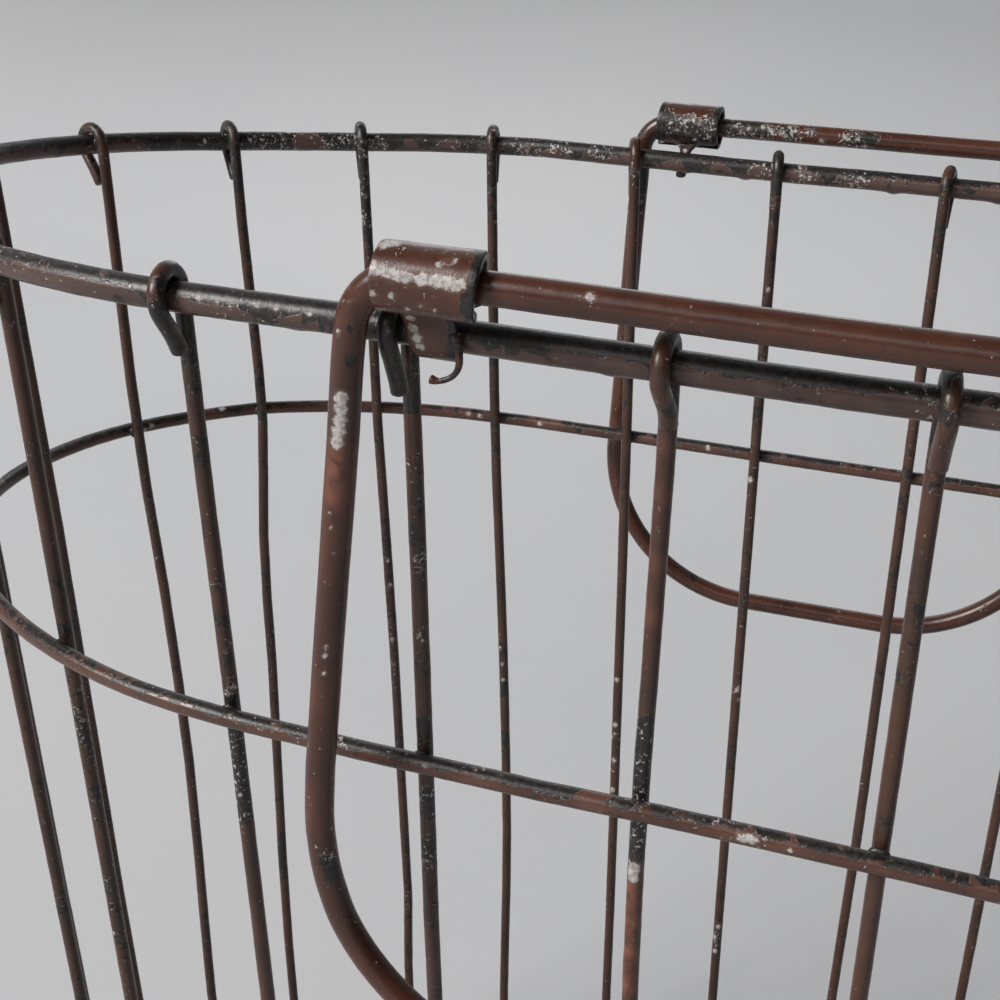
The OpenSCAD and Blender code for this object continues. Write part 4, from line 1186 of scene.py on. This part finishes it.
# ---------------------------------------------------------------- rolled clips
def clip_mesh(name, place_m, length, outer, bz, neck, turn, seed, slant=0.0):
    """A sheet rolled into a barrel with a slit, whose middle runs on as a tongue that wraps the rim.
    Local: x along the rim, u outwards, z up. neck: (height, x from, x to) from the barrel down to the tongue's end."""
    by, rm = P_OUT, (outer - SHEET) / 2
    tu = RIM_D / 2 + 0.05 + SHEET / 2
    arc = np.arange(-110.0, 242.1, 4.0)
    path = [(by + rm * cos(a), bz + rm * sin(a)) for a in arc]
    u0, z0 = path[-1]
    for z in np.arange(z0 - 0.5, 0.0, -0.5):
        path.append((u0 + (tu - u0) * float(sstep(z0 + 0.5, z0 * 0.15, np.array(z))), z))
    n_wrap = len(np.arange(0, -turn - 0.1, -6.0))
    for a in np.arange(0, -turn - 0.1, -6.0):
        path.append((tu * cos(a), tu * sin(a)))
    path = np.array(path)
    k = len(arc)
    for _ in range(3):     # ease the bend between barrel and tongue
        path[k - 3:k + 4] = (path[k - 4:k + 3] + 2 * path[k - 3:k + 4] + path[k - 2:k + 5]) / 4
    tg = np.gradient(path, axis=0)
    tg /= np.linalg.norm(tg, axis=1)[:, None]
    nor = np.c_[tg[:, 1], -tg[:, 0]]
    s = np.r_[0, np.cumsum(np.linalg.norm(np.diff(path, axis=0), axis=1))]
    total, s_bar = s[-1], s[len(arc) - 1]
    full = length / 2
    nk = np.array(neck)[::-1]
    rows, gaps, bore_shade = [], [], []
    NX, NC = 15, 4
    for i, (q, n) in enumerate(zip(path, nor)):
        w = float(sstep(s_bar - 1.3, s_bar + 0.4, np.array(s[i])))
        zz = q[1] if i < len(path) - n_wrap else -(s[i] - (total - math.radians(turn) * tu))
        cut = slant * (0.5 + cos(arc[i] - 35)) if i < len(arc) else 0.0     # the barrel's end isn't cut square
        lo = -(full + cut) * (1 - w) + float(np.interp(zz, nk[:, 0], nk[:, 1])) * w
        hi = full * (1 - w) + float(np.interp(zz, nk[:, 0], nk[:, 2])) * w
        end = min(s[i], total - s[i])
        rr = 0.9 if s[i] < total / 2 else min(3.2, (hi - lo) * 0.45)
        if end < rr:
            c_ = rr - math.sqrt(max(0.0, rr * rr - (rr - end) ** 2))
            lo += c_; hi -= c_
        t2 = SHEET / 2
        c = min(0.34, t2 * 0.8, (hi - lo) * 0.3)
        loop = []
        for x in np.linspace(lo + c, hi - c, NX): loop.append((x, t2))
        for k in range(1, NC): a = 90 - 90 * k / NC; loop.append((hi - c + c * cos(a), t2 - c + c * sin(a)))
        loop.append((hi, t2 - c)); loop.append((hi, -(t2 - c)))
        for k in range(1, NC): a = -90 * k / NC; loop.append((hi - c + c * cos(a), -(t2 - c) + c * sin(a)))
        for x in np.linspace(hi - c, lo + c, NX): loop.append((x, -t2))
        for k in range(1, NC): a = -90 - 90 * k / NC; loop.append((lo + c + c * cos(a), -(t2 - c) + c * sin(a)))
        loop.append((lo, -(t2 - c))); loop.append((lo, t2 - c))
        for k in range(1, NC): a = 180 - 90 * k / NC; loop.append((lo + c + c * cos(a), t2 - c + c * sin(a)))
        rows.append([(x, q[0] + n[0] * h, q[1] + n[1] * h) for x, h in loop])
        gaps += [(x - lo, hi - x) for x, h in loop]
        bore_shade += [h < 0.1 and i < len(arc) for x, h in loop]
    rows = np.array(rows)
    n, m = rows.shape[:2]
    v = rows.reshape(-1, 3)
    # gentle hammer marks
    dent = 0.10 * fbm(v / 4.5, seed) + 0.05 * fbm(v / 1.5, seed + 4)
    out = np.repeat(np.c_[np.zeros(n), nor], m, 0)
    v = v + out * dent[:, None]
    faces = [q[::-1] for q in grid_faces(n, m, False)]
    faces.append(list(range(m)))
    faces.append(list(range((n - 1) * m, n * m))[::-1])
    w = (np.c_[v, np.ones(len(v))] @ place_m.T)[:, :3]
    nn = out @ place_m[:3, :3].T
    dk, fl = (0.22, 0.34) if "front" in name else (0.52, 0.42)
    at = painter(name, dark=dk, fleck=fl, seed=seed, scale=9.0)(w, nn, None)
    gaps = np.array(gaps)
    wide = 1.0 if slant > 0 else 0.0
    edge = np.maximum(sstep(0.75 + 0.9 * wide, 0.15 + 0.6 * wide, gaps[:, 0]), sstep(0.75, 0.15, gaps[:, 1]) * (1 - wide))
    at["dark"] = np.clip(at["dark"] + 0.75 * edge + 0.6 * np.array(bore_shade), 0, 1.4)      # cut edges are worn black; painted shade: the inside of the bore, and on the front-left clip a wider band at the mouth end, partly worn paint
    at["bare_and_sheen"] = at["bare_and_sheen"] * (1 - edge)
    return w, faces, at


def build_clips():
    short = [(9, -2.7, 5.6), (4, -2.7, 5.5), (0, -2.6, 5.0), (-3, -2.2, 4.0), (-9, -1.8, 3.2)]
    slim = [(9, -3.2, 3.2), (4.4, -3.0, 3.0), (2.9, -1.6, 1.6), (2, -1.3, 1.3), (-12, -1.2, 1.2)]
    for nm, sy, x, length, outer, bz, neck, turn, seed in (
            ("clip_front_left", -1, -46.5, 14.0, 9.9, 9.6, short, 140.0, 201),
            ("clip_front_right", -1, 49.7, 16.0, 10.8, 8.8, slim, 100.0, 211),
            ("clip_back_left", 1, -49.7, 16.0, 10.9, 8.65, slim, 100.0, 221),
            ("clip_back_right", 1, 46.5, 14.0, 10.6, 9.1, short, 140.0, 231)):
        m = T(x, sy * RIM_HALF, H) @ (R("z", 180) if sy < 0 else np.eye(4))
        parts = [clip_mesh(nm, m, length, outer, bz, neck, turn, seed, 0.9 if nm == "clip_front_left" else -0.3)]
        if nm == "clip_front_left":
            pts = np.array([(-44.3, -94.0, 1.0), (-43.75, -94.1, -0.6), (-43.45, -94.15, -2.0), (-43.35, -94.2, -3.2), (-43.7, -94.25, -4.3),
                            (-44.4, -94.3, -5.1), (-45.3, -94.35, -5.65), (-46.2, -94.4, -5.95), (-47.0, -94.4, -6.0), (-47.5, -94.4, -5.8)])
            pts[:, 2] += H
            pts = resample(pts, 0.3)
            for _ in range(6):
                pts[1:-1] = (pts[:-2] + 2 * pts[1:-1] + pts[2:]) / 4
            rr = np.interp(np.linspace(0, 1, len(pts)), [0, 0.25, 0.6, 0.88, 1], [0.95, 0.62, 0.44, 0.46, 0.72])
            parts.append(sweep(pts, rr, 12, rough=0.08, seed=301, paint=painter("curl", dark=0.45, fleck=0.1, seed=301)))
        v, f, a = merge(parts)
        o = mesh_obj("sheet_" + nm, v, f, a, M_CLIP)
        place(o, "basket", "copper_brown_paint", nm)


build_basket()
build_beads()
build_handles()
build_clips()

# ---------------------------------------------------------------- stage
def stage_material():
    m = bpy.data.materials.new("stage_cloth")
    m.use_nodes = True
    nt = m.node_tree
    b = nt.nodes["Principled BSDF"]
    co = nt.nodes.new("ShaderNodeTexCoord")
    n = nt.nodes.new("ShaderNodeTexNoise"); n.inputs["Scale"].default_value = 2.2; n.inputs["Detail"].default_value = 3
    r = nt.nodes.new("ShaderNodeValToRGB")
    r.color_ramp.elements[0].position, r.color_ramp.elements[0].color = 0.3, (0.565, 0.573, 0.588, 1)
    r.color_ramp.elements[1].position, r.color_ramp.elements[1].color = 0.75, (0.595, 0.598, 0.605, 1)
    nt.links.new(co.outputs["Object"], n.inputs["Vector"])
    nt.links.new(n.outputs["Fac"], r.inputs["Fac"])
    # painted shade: the cloth is mixed towards dark grey where it rises, so the backdrop is darker towards the top,
    # where it also takes more light
    g = nt.nodes.new("ShaderNodeSeparateXYZ"); nt.links.new(co.outputs["Object"], g.inputs[0])
    k = nt.nodes.new("ShaderNodeMapRange"); nt.links.new(g.outputs["Z"], k.inputs["Value"])
    k.inputs["From Max"].default_value = 0.30; k.inputs["To Min"].default_value = 0.0; k.inputs["To Max"].default_value = 0.50
    x = nt.nodes.new("ShaderNodeMix"); x.data_type = "RGBA"
    nt.links.new(k.outputs["Result"], x.inputs[0]); nt.links.new(r.outputs["Color"], x.inputs[6]); x.inputs[7].default_value = (0.16, 0.16, 0.165, 1)
    nt.links.new(x.outputs[2], b.inputs["Base Color"])
    b.inputs["Roughness"].default_value = 0.9
    b.inputs["Specular IOR Level"].default_value = 0.1
    return m


def sweep_stage():
    """Floor that curves up into a backdrop, in one sheet."""
    prof = [(-14.0, -0.0004), (-3.0, -0.0004), (0.9, -0.0004)]
    for k in range(1, 17):
        a = 90 * k / 16
        prof.append((0.9 + 0.7 * sin(a), -0.0004 + 0.7 * (1 - cos(a))))
    prof.append((1.6, 6.0))
    xs = (-14.0, -3.6, -1.2, 0, 1.2, 3.6, 14.0)
    verts = [(x, y, z) for y, z in prof for x in xs]
    faces = []
    for i in range(len(prof) - 1):
        for j in range(len(xs) - 1):
            a = i * len(xs) + j
            faces.append([a, a + 1, a + len(xs) + 1, a + len(xs)])
    me = bpy.data.meshes.new("stage_sweep")
    me.from_pydata(verts, [], faces)
    me.polygons.foreach_set("use_smooth", [True] * len(me.polygons))
    me.materials.append(stage_material())
    o = bpy.data.objects.new("stage_sweep", me)
    bpy.context.scene.collection.objects.link(o)


sweep_stage()


def area(name, loc, target, size, power, colour=(1, 1, 1)):
    L = bpy.data.lights.new(name, "AREA")
    L.shape = "RECTANGLE"; L.size, L.size_y = size
    L.energy = power
    L.color = colour
    o = bpy.data.objects.new(name, L)
    o.location = loc
    o.rotation_mode = "QUATERNION"
    o.rotation_quaternion = (Vector(target) - Vector(loc)).to_track_quat("-Z", "Y")
    bpy.context.scene.collection.objects.link(o)
    return o


CAM_AZ = math.atan2(-0.2742, 0.02)     # where the camera stands, seen from the middle


def sky(az_left, elev, dist, target=(0, 0, 0.25)):
    """A place in the room: degrees to the left of the camera as the viewer sees it, height in degrees."""
    a = CAM_AZ - math.radians(az_left)
    return (target[0] + dist * math.cos(a) * cos(elev), target[1] + dist * math.sin(a) * cos(elev), target[2] + dist * sin(elev))


area("key_window", sky(52, 34, 6.0), (0, 0, 0.25), (2.6, 2.6), 430, (1.0, 0.985, 0.975))
area("back_fill", sky(168, 24, 1.55), (0, 0, 0.2), (0.9, 0.5), 2.8, (0.97, 0.985, 1.0))
area("low_fill", sky(5, 30, 4.0), (0, 0, 0.2), (2.0, 1.2), 12, (0.97, 0.985, 1.0))

w = bpy.data.worlds.new("studio")
w.use_nodes = True
w.node_tree.nodes["Background"].inputs[0].default_value = (0.80, 0.82, 0.85, 1)
w.node_tree.nodes["Background"].inputs[1].default_value = 0.035
bpy.context.scene.world = w

# ---------------------------------------------------------------- camera, solved from the wires in the photograph
PSI, PITCHR, ROLL = -0.3032574, 0.3890649, -0.0500437
cp, sp = math.cos(PITCHR), math.sin(PITCHR)
Y = np.array([[math.cos(PSI), math.sin(PSI), 0], [-math.sin(PSI), math.cos(PSI), 0], [0, 0, 1]])
fwd = Y @ np.array([0, cp, -sp]); right = Y @ np.array([1.0, 0, 0]); down = Y @ np.array([0, -sp, -cp])
r2 = math.cos(ROLL) * right + math.sin(ROLL) * down
d2 = -math.sin(ROLL) * right + math.cos(ROLL) * down
cam = bpy.data.cameras.new("camera")
cam.sensor_fit = "HORIZONTAL"
cam.sensor_width = 36.0
cam.lens = 50.4
cam.clip_start, cam.clip_end = 0.01, 50
co = bpy.data.objects.new("camera", cam)
rot = Matrix([[r2[i], -d2[i], -fwd[i]] for i in range(3)])
co.matrix_world = Matrix.Translation((0.0199855, -0.2742419, 0.3726945)) @ rot.to_4x4()
bpy.context.scene.collection.objects.link(co)
bpy.context.scene.camera = co
bpy.context.scene.view_settings.view_transform = "Standard"
